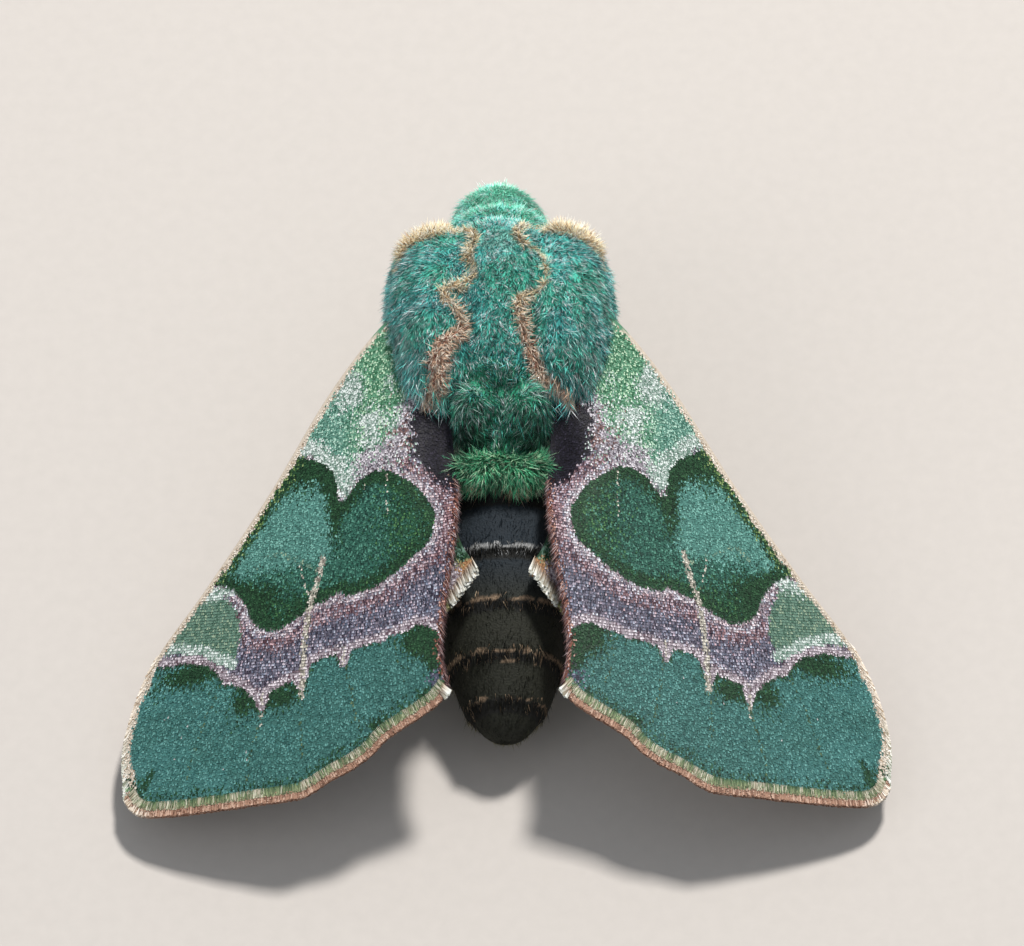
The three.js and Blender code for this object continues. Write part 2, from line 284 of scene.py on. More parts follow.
def paint_vertices(mesh: Mesh, colours: Array) -> None:
    """Stores a colour for each vertex, which the finishes read."""
    store = mesh.attributes.new("markings", "FLOAT_COLOR", "POINT")
    full = np.hstack([np.clip(colours, 0, 1), np.ones((len(colours), 1))])
    store.data.foreach_set("color", full.astype(np.float32).ravel())


def vertex_rows(mesh: Mesh, name: str) -> Array:
    """A vector of each vertex, such as its place "co" or its "normal"."""
    flat = np.empty(len(mesh.vertices) * 3, np.float32)
    mesh.vertices.foreach_get(name, flat)
    return flat.reshape(-1, 3)


def own_places(mesh: Mesh) -> Array:
    """A mesh's vertices in the moth's own millimetres."""
    return vertex_rows(mesh, "co") / MM - SHIFT


# ---- finishes ----


class Wire:
    """A value in a shader, on which arithmetic adds Math nodes."""

    def __init__(self, shader: "Shader", socket: NodeSocket) -> None:
        """Remembers the socket and the shader that it is in."""
        self.shader = shader
        self.socket = socket

    def __add__(self, other: "Wire | float") -> "Wire":
        """Sum."""
        return self.shader.maths("ADD", self, other)

    def __sub__(self, other: "Wire | float") -> "Wire":
        """Difference."""
        return self.shader.maths("SUBTRACT", self, other)

    def __rsub__(self, other: float) -> "Wire":
        """A number less this value."""
        return self.shader.maths("SUBTRACT", other, self)

    def __mul__(self, other: "Wire | float") -> "Wire":
        """Product."""
        return self.shader.maths("MULTIPLY", self, other)

    __radd__ = __add__
    __rmul__ = __mul__


class Shader:
    """A new material with one Principled shader."""

    def __init__(self, name: str, **settings: float) -> None:
        """Starts a material.

        Args:
            name: the material's name.
            settings: values set on the Principled shader's own sockets.
        """
        self.material = bpy.data.materials.new(name)
        self.material.use_nodes = True
        self.tree = self.material.node_tree
        self.surface = self.tree.nodes["Principled BSDF"]
        for socket, value in settings.items():
            self.surface.inputs[socket.replace("_", " ")].default_value = value

    def node(self, kind: str, settings: dict | None = None, **values: object) -> Node:
        """Adds any node.

        Args:
            kind: the node's type.
            settings: its own settings, set first.
            values: values or wires for its sockets, by name with _ for a space.

        Returns:
            The node.
        """
        made = self.tree.nodes.new(kind)
        for name, value in (settings or {}).items():
            setattr(made, name, value)
        for name, value in values.items():
            self.join(made.inputs[name.replace("_", " ")], value)
        return made

    def join(self, socket: NodeSocket, value: object) -> None:
        """Links a wire to a socket, or sets its value."""
        if isinstance(value, Wire):
            self.tree.links.new(value.socket, socket)
        else:
            socket.default_value = value

    def maths(self, operation: str, first: object, second: object) -> Wire:
        """Adds a Math node."""
        made = self.node("ShaderNodeMath", {"operation": operation})
        self.join(made.inputs[0], first)
        self.join(made.inputs[1], second)
        return Wire(self, made.outputs[0])

    def place(self) -> Wire:
        """The place on the object, in metres."""
        return Wire(self, self.node("ShaderNodeTexCoord").outputs["Object"])

    def markings(self) -> Wire:
        """The colour stored on the mesh."""
        made = self.node("ShaderNodeAttribute", {"attribute_name": "markings"})
        return Wire(self, made.outputs["Color"])

    def noise(self, size: float, detail: float = 2.0) -> Wire:
        """Cloudy values from 0 to 1, whose lumps are size millimetres across."""
        made = self.node(
            "ShaderNodeTexNoise", Vector=self.place(), Scale=1 / (size * MM), Detail=detail
        )
        return Wire(self, made.outputs["Fac"])

    def cells(self, size: float) -> Wire:
        """Distance to the nearest of many scattered points, size millimetres apart."""
        made = self.node("ShaderNodeTexVoronoi", Vector=self.place(), Scale=1 / (size * MM))
        return Wire(self, made.outputs["Distance"])

    def scaled(self, colour: Wire, amount: Wire) -> Wire:
        """A colour made lighter or darker."""
        made = self.node("ShaderNodeVectorMath", {"operation": "SCALE"}, Scale=amount)
        self.join(made.inputs[0], colour)
        return Wire(self, made.outputs[0])

    def blended(self, share: Wire, first: object, second: object) -> Wire:
        """A mix of two colours."""
        made = self.node("ShaderNodeMix", {"data_type": "RGBA"})
        self.join(made.inputs[0], share)
        self.join(made.inputs[6], first)
        self.join(made.inputs[7], second)
        return Wire(self, made.outputs[2])

    def bumped(self, height: Wire, depth: float) -> None:
        """Raises the surface by up to depth millimetres."""
        made = self.node("ShaderNodeBump", Height=height, Distance=depth * MM, Strength=1.0)
        self.join(self.surface.inputs["Normal"], Wire(self, made.outputs[0]))

    def dressed(self, **values: object) -> Material:
        """Feeds the surface's sockets and returns the material."""
        for name, value in values.items():
            self.join(self.surface.inputs[name.replace("_", " ")], value)
        return self.material


def rgba(colour: Colour) -> tuple[float, ...]:
    """A display colour as the value of a socket."""
    return (*tint(*colour), 1)


@dataclass(frozen=True)
class CoatFinish:
    """Hair or scales: the stored markings, uneven from strand to strand."""

    name: str
    roughness: float = 0.5
    shine: float = 0.5
    grain: float = 0.1
    uneven: float = 0.4
    brightness: float = 1.0
    cloud: float = 1.7
    cloud_depth: float = 0.25

    def make(self) -> Material:
        """Makes the material."""
        shader = Shader(self.name, Specular_IOR_Level=self.shine)
        grain = shader.noise(self.grain)
        clouds = shader.noise(self.cloud, 3.0)
        middle = self.brightness - self.uneven / 2 - self.cloud_depth / 2
        lightness = grain * self.uneven + clouds * self.cloud_depth + middle
        return shader.dressed(
            Base_Color=shader.scaled(shader.markings(), lightness),
            Roughness=grain * 0.3 + (self.roughness - 0.15),
        )


@dataclass(frozen=True)
class SkinFinish:
    """Skin under a coat: the markings, darker, with a fine flat nap in bump."""

    name: str
    darkness: float = 0.55
    nap: float = 0.09
    relief: float = 0.05

    def make(self) -> Material:
        """Makes the material."""
        shader = Shader(self.name, Specular_IOR_Level=0.25)
        nap = shader.noise(self.nap, 3.0)
        shader.bumped(nap, self.relief)
        lightness = nap * 0.5 + (self.darkness - 0.25)
        return shader.dressed(
            Base_Color=shader.scaled(shader.markings(), lightness),
            Roughness=nap * 0.2 + 0.65,
        )


@dataclass(frozen=True)
class EyeFinish:
    """A compound eye: dark brown under a clear coat of fine facets."""

    name: str = "eye_facets"
    facet: float = 0.045
    relief: float = 0.012
    brown: Colour = (58, 44, 30)
    black: Colour = (20, 17, 15)

    def make(self) -> Material:
        """Makes the material."""
        shader = Shader(self.name, Coat_Weight=0.6, Coat_Roughness=0.08)
        shader.bumped(1 - shader.cells(self.facet), self.relief)
        clouds = shader.noise(0.5, 3.0)
        return shader.dressed(
            Base_Color=shader.blended(clouds, rgba(self.brown), rgba(self.black)),
            Roughness=clouds * 0.15 + 0.2,
        )


@dataclass(frozen=True)
class MottledFinish:
    """Horn or paper: streaked or clouded between a dark and a light colour."""

    name: str
    light: Colour
    dark: Colour
    size: float = 0.12
    detail: float = 3.0
    relief: float = 0.015
    shine: float = 0.45
    roughness: float = 0.35
    uneven: float = 0.3

    def make(self) -> Material:
        """Makes the material."""
        shader = Shader(self.name, Specular_IOR_Level=self.shine)
        streaks = shader.noise(self.size, self.detail)
        if self.relief:
            shader.bumped(streaks, self.relief)
        return shader.dressed(
            Base_Color=shader.blended(streaks, rgba(self.dark), rgba(self.light)),
            Roughness=streaks * self.uneven + self.roughness,
        )


PAPER = MottledFinish(
    "pale_floor", (188, 182, 176), (180.48, 174.72, 168.96),
    size=0.6, detail=4.0, relief=0.0, shine=0.1, roughness=0.8, uneven=0.1,
)


# ---- body forms ----


@dataclass(frozen=True)
class Form:
    """A rounded body form with its poles at the front and rear.

    The widest place is at middle. Heights up and down are from a centre line that
    runs from front_height to rear_height. Exponents above 2 make it blunter.
    """

    front: float
    middle: float
    rear: float
    half_width: float
    up: float
    down: float
    front_height: float
    rear_height: float
    offset: float = 0.0
    nose: float = 2.0
    tail: float = 2.0
    girth: float = 2.0
    coat: float = 0.4

    def centre(self, y: Array) -> Array:
        """Height of the centre line."""
        share = (y - self.rear) / (self.front - self.rear)
        return self.rear_height + (self.front_height - self.rear_height) * share

    def around(self, places: Array, side: int) -> Array:
        """Angle about the centre line, from 0 to 1 with the seam underneath."""
        x = places[:, 0] - side * self.offset
        return np.arctan2(x, places[:, 2] - self.centre(places[:, 1])) / (2 * math.pi) + 0.5

    def surface(self, ball: Array, side: int, grow: float) -> Array:
        """Where the points of a unit ball lie on the form.

        Args:
            ball: points of a unit ball whose poles are at +Y and -Y.
            side: 1 for the right, -1 for the left.
            grow: how far outside the form the surface is.

        Returns:
            Places in the moth's millimetres.
        """
        ahead, cross = ball[:, 1], np.arctan2(ball[:, 2], ball[:, 0])
        ring = np.sqrt(np.maximum(1 - ahead**2, 0))
        reach = np.where(ahead > 0, self.front - self.middle, self.middle - self.rear) + grow
        blunt = np.where(ahead > 0, self.nose, self.tail)
        y = self.middle + reach * np.sign(ahead) * np.abs(ahead) ** (2 / blunt)
        swell = ring ** (2 / blunt)
        sideways = np.sign(np.cos(cross)) * np.abs(np.cos(cross)) ** (2 / self.girth)
        upright = np.sign(np.sin(cross)) * np.abs(np.sin(cross)) ** (2 / self.girth)
        height = np.where(upright > 0, self.up, self.down) + grow
        x = side * self.offset + (self.half_width + grow) * swell * sideways
        return np.stack([x, y, self.centre(y) + height * swell * upright], -1)

    def value(self, places: Array, side: int, grow: float = 0.0) -> Array:
        """Below 1 inside the form, 1 on its surface and above 1 outside."""
        x, y, z = places[:, 0] - side * self.offset, places[:, 1], places[:, 2]
        fore = y > self.middle
        reach = np.where(fore, self.front - self.middle, self.middle - self.rear) + grow
        blunt = np.where(fore, self.nose, self.tail)
        share = np.abs(y - self.middle) / reach
        swell = np.maximum(1 - np.minimum(share, 1) ** blunt, 1e-6) ** (1 / blunt)
        rise = z - self.centre(y)
        height = np.where(rise > 0, self.up, self.down) + grow
        cross = (np.abs(x) / ((self.half_width + grow) * swell)) ** self.girth
        cross += (np.abs(rise) / (height * swell)) ** self.girth
        return np.where(share >= 1, 9.0 + share, cross)


class Part(Enum):
    """The named parts of the body that the one skin covers."""

    HEAD = 0
    PALP = 1
    COLLAR = 2
    TRUNK = 3
    SHOULDER = 4
    NAPE = 5
    CREST = 6
    ABDOMEN = 7


FORMS = {
    Part.HEAD: Form(8.85, 6.7, 4.2, 2.2, 2.45, 2.3, 6.2, 6.4, nose=2.1, girth=1.9, coat=0.36),
    Part.PALP: Form(9.1, 8.3, 7.3, 0.55, 1.25, 1.15, 4.9, 4.4, offset=0.6, nose=2.2, coat=0.18),
    Part.COLLAR: Form(7.5, 5.0, 2.0, 3.0, 3.7, 3.0, 6.1, 6.6, girth=2.1, coat=0.4),
    Part.TRUNK: Form(6, 2, -6.5, 3.3, 5.4, 4.1, 6.7, 6.1, nose=2.3, tail=2.1, girth=2.3, coat=0.45),
    Part.SHOULDER: Form(
        5.5, 0.8, -4.5, 2.55, 4.3, 3.5, 7.1, 7.5, offset=2.7, nose=2.5, girth=2.3, coat=0.36
    ),
    Part.NAPE: Form(
        -2.5, -4.0, -5.6, 1.25, 1.75, 2.6, 9.3, 7.7, offset=1.15, girth=2.1, coat=0.4
    ),
    Part.CREST: Form(
        -5.3, -6.4, -7.45, 2.6, 0.95, 1.2, 7.8, 7.3, nose=2.2, tail=2.2, girth=2.6, coat=0.5
    ),
    Part.ABDOMEN: Form(-3.2, -8.8, -17.1, 3.35, 3.15, 2.85, 4.9, 2.35, girth=2.1, coat=0.2),
}
EYE = Form(8.1, 7.15, 6.2, 0.95, 1.1, 1.15, 5.85, 5.85, offset=1.18)
RING_ENDS = (-7.3, -9.65, -11.9, -14.0, -15.75)  # rear edge of each abdomen ring


def sides_of(form: Form) -> tuple[int, ...]:
    """Both sides for a paired form, and one for a form on the midline."""
    return (1, -1) if form.offset else (1,)


# ---- markings ----


@dataclass(frozen=True)
class Palette:
    """Colours of neighbouring strands: mostly base, with some lighter and darker."""

    base: Colour
    light: Colour
    dark: Colour
    light_share: float = 0.2
    dark_share: float = 0.25

    def pick(self, luck: Array) -> Array:
        """One colour for each strand.

        Args:
            luck: a value from 0 to 1 for each strand.

        Returns:
            Rows of linear colour.
        """
        base, light, dark = tint(*self.base), tint(*self.light), tint(*self.dark)
        soft = 0.08
        high = ramp(1 - self.light_share - soft, 1 - self.light_share + soft, luck)
        low = ramp(self.dark_share + soft, self.dark_share - soft, luck)
        return between(between(np.broadcast_to(base, (len(luck), 3)), light, high), dark, low)


def blend(first: Palette, second: Palette, share: Array, luck: Array) -> Array:
    """Colours between two palettes, by a share and a luck for each strand."""
    return between(first.pick(luck), second.pick(luck), share)


class Brush:
    """Lays colours over one another on the strands of a coat or the points of a skin."""

    def __init__(self, count: int, rng: Rng | None) -> None:
        """Gives each strand its luck.

        Args:
            count: number of strands.
            rng: the source of luck; None gives the middle colour of each zone.
        """
        self.count = count
        self.rng = rng
        self.luck = self.dice()
        self.tone = np.zeros((count, 3))

    def dice(self) -> Array:
        """A roll from 0 to 1 for each strand."""
        return self.rng.random(self.count) if self.rng else np.full(self.count, 0.5)

    def lay(self, share: Array, paint: Palette | Array, roll: Array | None = None) -> None:
        """Paints the strands whose roll is below the share.

        Args:
            share: how full the paint is, from 0 to 1.
            paint: a palette, or a colour for each strand.
            roll: a value from 0 to 1 for each strand; None rolls anew.
        """
        over = paint.pick(self.luck) if isinstance(paint, Palette) else paint
        roll = self.dice() if roll is None else roll
        self.tone = np.where((share > roll)[:, None], over, self.tone)

    def zone(self, share: Array, ground: Palette, details: Callable[[], None]) -> None:
        """Paints a zone apart and then lays it over the rest.

        Args:
            share: how full the zone is, from 0 to 1.
            ground: the zone's first colours.
            details: lays the zone's own details.
        """
        rest, self.tone = self.tone, ground.pick(self.luck)
        details()
        zone, self.tone = self.tone, rest
        self.lay(share, zone)


@dataclass(frozen=True)
class WingEdges:
    """Distances of places on a wing to its edges."""

    lead: Array
    outer: Array
    inner: Array


class WingMarkings(Brush):
    """Markings of the forewing's upper side, in plan with x away from the body."""

    lobes = curve_through(
        (
            (9.0, -4.9), (8.05, -5.3), (7.3, -6.05), (6.9, -7.45), (6.3, -6.8), (5.4, -6.4),
            (4.5, -6.8), (3.4, -7.7), (2.9, -8.85), (3.2, -10.05), (4.15, -10.8), (5.4, -11.6),
            (6.7, -11.8), (7.1, -11.65), (8.25, -12.05), (9.7, -12.75), (10.8, -12.2),
            (11.2, -11.15), (12.0, -10.2), (13.1, -9.7), (12.2, -9.0), (10.3, -6.3),
        ),
        closed=True,
    )
    basal_edge = curve_through(
        (
            (9.6, -4.4), (8.3, -4.6), (7.7, -5.35), (7.1, -5.9), (6.9, -7.0), (6.3, -6.2),
            (5.4, -5.9), (4.8, -5.7), (4.2, -4.9), (3.8, -3.8), (3.2, -2.6), (1.5, -1.6),
            (1.5, 2.0), (6.0, 2.5),
        ),
        closed=True,
    )
    lower_edge = (
        (2.85, -13.75), (3.2, -13.55), (3.75, -13.4), (4.3, -13.65), (4.75, -13.7), (5.35, -13.95),
        (6.1, -14.0), (6.65, -14.15), (6.9, -14.75), (7.1, -14.15), (7.9, -14.25), (8.5, -14.5),
        (8.72, -15.5), (8.95, -14.9), (9.6, -15.15), (10.25, -15.35), (10.45, -16.1),
        (10.7, -15.4), (11.2, -14.9), (11.75, -14.5), (11.9, -14.65), (12.15, -14.2),
        (12.6, -13.6), (13.7, -13.1), (15.4, -12.95),
    )
    terminal = np.array(
        [*lower_edge, (18, -13), (18, -22), (2.0, -22), (2.6, -16.4), (2.75, -15.5)]
    )
    costal_patch = curve_through(
        (
            (12.6, -10.2), (11.9, -10.8), (11.45, -11.7), (11.35, -12.9), (11.8, -13.6),
            (13.3, -12.85), (15.6, -12.6), (16.0, -12.0), (13.6, -9.2),
        ),
        closed=True,
    )
    white_line = curve_through(
        ((15.6, -12.35), (14.5, -12.45), (13.2, -12.8), (12.4, -13.35), (11.7, -13.9))
    )
    purple_patch = curve_through(
        (
            (2.0, -3.6), (3.6, -3.9), (3.75, -5.0), (3.4, -6.2), (2.85, -6.9), (2.2, -7.3),
            (1.6, -7.0),
        ),
        closed=True,
    )
    main_vein = (
        (7.75, -9.9), (8.0, -10.9), (8.25, -11.6), (8.45, -12.7), (8.6, -13.9), (8.7, -15.9),
    )
    veins = (
        (main_vein, 0.12, 1.0),
        (((8.75, -10.0), (8.55, -10.9), (8.36, -11.6)), 0.05, 0.45),
        (((4.98, -6.7), (4.95, -7.5), (4.95, -8.7)), 0.035, 0.5),
        (((5.92, -6.8), (5.95, -7.5)), 0.03, 0.35),
        (((10.42, -15.4), (10.46, -16.9)), 0.05, 0.7),
        (((6.86, -14.0), (6.92, -14.8)), 0.06, 0.8),
    )  # line, half width, and how full it is of pale scales
    costal_rim = curve_through(((8.9, -4.6), (10.3, -6.5), (12.0, -8.8), (13.3, -10.3)))
    crescent = curve_through(((8.1, -10.3), (8.7, -9.9), (9.4, -9.4), (10.1, -9.25), (10.6, -9.6)))
    end_fold = curve_through(((15.25, -18.0), (15.6, -18.7), (15.9, -19.3)))
    dark_veins = tuple(
        curve_through(line)
        for line in (
            ((6.85, -14.3), (6.6, -16.0), (6.3, -17.6)),
            ((8.7, -15.4), (8.75, -17.0), (8.7, -18.6)),
            ((10.45, -16.6), (10.9, -18.0), (11.1, -19.2)),
            ((4.75, -13.6), (4.55, -15.2), (4.2, -16.3)),
            ((12.1, -14.4), (13.0, -16.4), (13.7, -18.6)),
        )
    )

    lilac = Palette((116, 112, 128), (194, 186, 202), (60, 52, 68), 0.3, 0.3)
    lilac_pale = Palette((166, 154, 162), (232, 222, 228), (98, 76, 86), 0.32, 0.24)
    lilac_core = Palette((80, 84, 102), (142, 140, 160), (42, 42, 56), 0.22, 0.3)
    lilac_warm = Palette((134, 104, 110), (206, 182, 190), (68, 46, 56), 0.3, 0.28)
    reddish = Palette((140, 88, 74), (204, 162, 148), (64, 38, 38), 0.26, 0.32)
    teal = Palette((62, 110, 104), (92, 144, 138), (40, 80, 76), 0.2, 0.24)
    teal_bright = Palette((70, 122, 118), (104, 158, 153), (46, 92, 90), 0.2, 0.22)
    vein_brown = Palette((66, 88, 62), (96, 112, 78), (42, 62, 42), 0.2, 0.3)
    deep_green = Palette((34, 68, 44), (52, 92, 60), (20, 44, 28), 0.15, 0.3)
    lobe_olive = Palette((38, 82, 58), (80, 124, 76), (20, 48, 34), 0.18, 0.32)
    lobe_teal = Palette((50, 98, 84), (84, 138, 120), (26, 58, 50), 0.2, 0.3)
    lobe_light = Palette((84, 136, 126), (120, 174, 162), (56, 98, 90), 0.2, 0.22)
    basal = Palette((98, 152, 120), (190, 220, 188), (52, 102, 72), 0.25, 0.3)
    basal_teal = Palette((102, 150, 134), (172, 208, 190), (60, 106, 90), 0.24, 0.26)
    whitish = Palette((166, 184, 175), (224, 232, 228), (96, 128, 112), 0.35, 0.3)
    pink_white = Palette((164, 158, 166), (228, 222, 228), (86, 78, 86), 0.32, 0.28)
    costal_green = Palette((98, 130, 114), (146, 166, 140), (64, 96, 80), 0.18, 0.28)
    cream = Palette((216, 202, 184), (240, 230, 216), (168, 146, 122), 0.3, 0.2)
    vein_cream = Palette((186, 180, 166), (230, 224, 210), (120, 114, 104), 0.34, 0.28)
    tan = Palette((160, 124, 104), (194, 162, 142), (122, 90, 74), 0.25, 0.25)
    costal_olive = Palette((96, 124, 72), (150, 170, 112), (50, 82, 44), 0.25, 0.25)
    olive_edge = Palette((84, 120, 84), (124, 156, 108), (52, 88, 60), 0.22, 0.28)
    # purple: partly the wing's own dark scales, partly painted shade of the hollow beside the thorax
    purple = Palette((31, 29, 39), (48, 44, 58), (20, 17, 23), 0.12, 0.3)
    brown_pink = Palette((124, 94, 92), (178, 150, 146), (74, 52, 52), 0.25, 0.3)
    warm_light = np.array([1.13, 0.98, 0.95])  # tints of single scales in the lilac band
    cool_light = np.array([0.88, 1.06, 1.07])
    speck = 0.5  # linear grey of the few bright scales

    def __init__(self, plan: Array, edges: WingEdges, rng: Rng | None) -> None:
        """Measures how places lie to the zones.

        Args:
            plan: rows of x away from the body and y.
            edges: distances of the places to the wing's edges.
            rng: gives each strand its luck; None gives the middle colour of each zone.
        """
        super().__init__(len(plan), rng)
        self.plan = plan
        self.edges = edges
        self.x, self.y = plan.T
        self.loose = SoftNoise(0.35, 5).at(plan)
        self.in_lobe = depth_in(self.lobes, plan) + 0.05 * self.loose
        self.in_end = depth_in(self.terminal, plan) + 0.04 * self.loose
        self.in_base = depth_in(self.basal_edge, plan) + 0.15 * self.loose

    def spot(self, x: float, y: float, wide: float, high: float) -> Array:
        """A soft round spot in plan."""
        return blob(self.plan, (x, y), (wide, high))

    def painted(self) -> Array:
        """The colours of all places, from the ground up."""
        self.paint_band()
        self.paint_base()
        self.lay(ramp(-0.1, 0.15, depth_in(self.costal_patch, self.plan)), self.costal_green)
        self.lay(self.spot(12.4, -10.4, 0.75, 0.35) * 1.2, self.whitish)
        self.zone(ramp(-0.03, 0.06, self.in_end), self.teal, self.paint_end)
        self.zone(ramp(-0.04, 0.05, self.in_lobe), self.lobe_teal, self.paint_lobes)
        self.paint_lines()
        self.paint_edges()
        return self.tone

    def paint_band(self) -> None:
        """The lilac band, pale beside the green zones."""
        x, y = self.x, self.y
        self.tone = self.lilac.pick(self.luck)
        warm = ramp(0.15, 0.45, -self.in_lobe) * ramp(1.5, 0.7, -self.in_lobe) * 0.6
        warm += ramp(3.0, 2.2, x) * ramp(-7.6, -9.0, y) * 0.5
        self.lay(warm, self.lilac_warm)
        core = ramp(0.6, 1.1, -self.in_lobe) * ramp(0.25, 0.6, -self.in_end) * 0.48
        self.lay(core * ramp(-8.6, -10.4, y), self.lilac_core)
        rim = ramp(0.5, 0.12, np.abs(self.in_lobe)) * 0.9
        self.lay(rim + ramp(0.35, 0.1, np.abs(self.in_end)) * 0.75, self.lilac_pale)
        self.tone = self.tone * between(self.warm_light, self.cool_light, self.dice())

    def paint_base(self) -> None:
        """The green root of the wing with its pale cloud and rosy edge."""
        x, gap = self.x, np.abs(self.in_base)
        near_root = ramp(-0.15, 0.15, self.in_base)
        self.lay(near_root, blend(self.basal, self.basal_teal, ramp(5.8, 7.2, x), self.luck))
        pale = self.spot(6.4, -2.6, 0.5, 0.7) + 0.8 * self.spot(6.7, -1.9, 0.4, 0.5)
        pale += 0.9 * self.spot(5.7, -4.4, 0.5, 1.1) + ramp(0.55, 0.1, gap) * ramp(5.6, 6.6, x)
        pale += 0.35 * near_root * ramp(0.1, 0.5, SoftNoise(0.8, 11).at(self.plan))
        pale += 0.6 * self.spot(4.9, -5.6, 1.2, 0.7) + 0.4 * self.spot(3.9, -4.4, 0.7, 1.2)
        self.lay(pale, self.whitish)
        self.lay(ramp(0.75, 0.2, gap) * ramp(6.8, 5.8, x) * 0.9, self.pink_white)
        freckled = ramp(-0.1, 0.5, SoftNoise(0.3, 13).at(self.plan))
        self.lay(0.8 * self.spot(4.0, -5.3, 0.9, 1.5) * freckled * 0.9, self.brown_pink)

    def paint_lobes(self) -> None:
        """Greens of the two dark lobes."""
        x, y = self.x, self.y
        self.lay(ramp(6.2, 4.0, x) * 0.75 + 0.9 * ramp(-10.6, -12.0, y), self.lobe_olive)
        # Lighter upper part of the outer lobe: partly painted light, as on the lit side of a gentle
        # fold.
        self.lay(ramp(6.9, 7.8, x) * ramp(-10.6, -9.4, y), self.lobe_light)
        dark = ramp(0.95, 0.2, self.in_lobe) * 0.82 + self.spot(10.6, -11.2, 1.3, 0.85)
        dark += 0.9 * self.spot(7.2, -8.3, 0.35, 1.0) + ramp(-7.3, -5.7, y) * 0.95
        self.lay(dark, self.deep_green)
        rim = nearest(self.costal_rim, self.plan)[0] + 0.12 * SoftNoise(0.3, 19).at(self.plan)
        self.lay(ramp(0.9, 0.5, rim) * 0.7, self.deep_green)
        self.lay(ramp(0.85, 0.3, rim) * 0.45, self.costal_olive)
        self.lay(ramp(0.16, 0.03, nearest(self.crescent, self.plan)[0]) * 0.4, self.costal_green)

    def paint_end(self) -> None:
        """Greens of the outer field between the lilac band and the fringe."""
        bright = ramp(7.0, 12.0, self.x) * 0.6 + 0.5 * SoftNoise(1.6, 17).at(self.plan)
        self.lay(bright, self.teal_bright)
        dark = self.spot(3.5, -14.3, 0.8, 0.7) * 1.5 + self.spot(13.4, -13.9, 1.7, 0.6) * 1.1
        dark += self.spot(3.1, -15.1, 0.35, 0.6)
        dark += self.spot(11.2, -15.7, 0.6, 0.7) + self.spot(9.6, -15.8, 0.7, 0.5) * 1.2
        dark += 0.7 * ramp(0.4, 0.1, self.in_end) + self.spot(5.3, -17.7, 0.6, 0.4) * 0.9
        dark += self.spot(3.3, -16.7, 0.5, 0.25) + self.spot(7.6, -19.0, 0.5, 0.3) * 0.5
        dark += 0.8 * ramp(0.24, 0.08, nearest(self.end_fold, self.plan)[0])
        for vein in self.dark_veins:
            self.lay(0.36 * ramp(0.11, 0.03, nearest(vein, self.plan)[0]), self.vein_brown)
        self.lay(dark, self.deep_green)

    def paint_lines(self) -> None:
        """The serrated edge of the lilac band, the white line and the pale veins."""
        serrated, _ = nearest(np.array(self.lower_edge), self.plan)
        line = ramp(0.24, 0.12, serrated + 0.05 * self.loose)
        self.lay(line * ramp(-0.12, 0.02, -self.in_end + 0.12), self.lilac_pale)
        white, _ = nearest(self.white_line, self.plan)
        self.lay(ramp(0.3, 0.16, white + 0.06 * self.loose), self.whitish)
        for points, reach, full in self.veins:
            far, along = nearest(curve_through(points), self.plan)
            dots = full * (0.8 + 0.2 * np.sin(along * 15))
            self.lay(ramp(reach * 1.5, reach * 0.6, far) * dots, self.vein_cream)

    def paint_edges(self) -> None:
        """The dark purple patch in the hollow by the body, partly dark scales and partly painted
        shade, the rusty inner margin, the cream front edge and the fringe.
        """
        y, edges = self.y, self.edges
        # Dark purple patch: partly dark scales, partly painted shade of the hollow beside the thorax.
        hollow = depth_in(self.purple_patch, self.plan) + 0.22 * self.loose
        self.lay(ramp(-0.5, 0.25, hollow), self.purple)
        margin = ramp(0.52, 0.12, edges.inner) * ramp(-6.6, -8.0, y) * ramp(-16.8, -15.6, y)
        self.lay(margin * 0.56, self.reddish)
        self.lay(self.spot(3.0, -16.0, 0.3, 0.4) * 0.9, self.lilac_core)
        self.lay(0.0008 * ramp(-13.0, -14.5, y), np.full((self.count, 3), self.speck))
        front = edges.lead - 0.22 * ramp(-15.5, -18.6, y) + 0.08 * self.loose
        self.lay(ramp(0.44, 0.26, front) * (0.45 + 0.55 * ramp(1.0, -4.5, y)), self.cream)
        behind = ramp(-15.6, -16.6, y)
        self.lay(ramp(1.25, 0.75, edges.outer + 0.12 * self.loose) * behind * 0.5, self.deep_green)
        self.lay(ramp(0.62, 0.5, edges.outer + 0.05 * self.loose) * behind, self.olive_edge)
        self.lay(ramp(0.44, 0.36, edges.outer) * behind, self.tan)


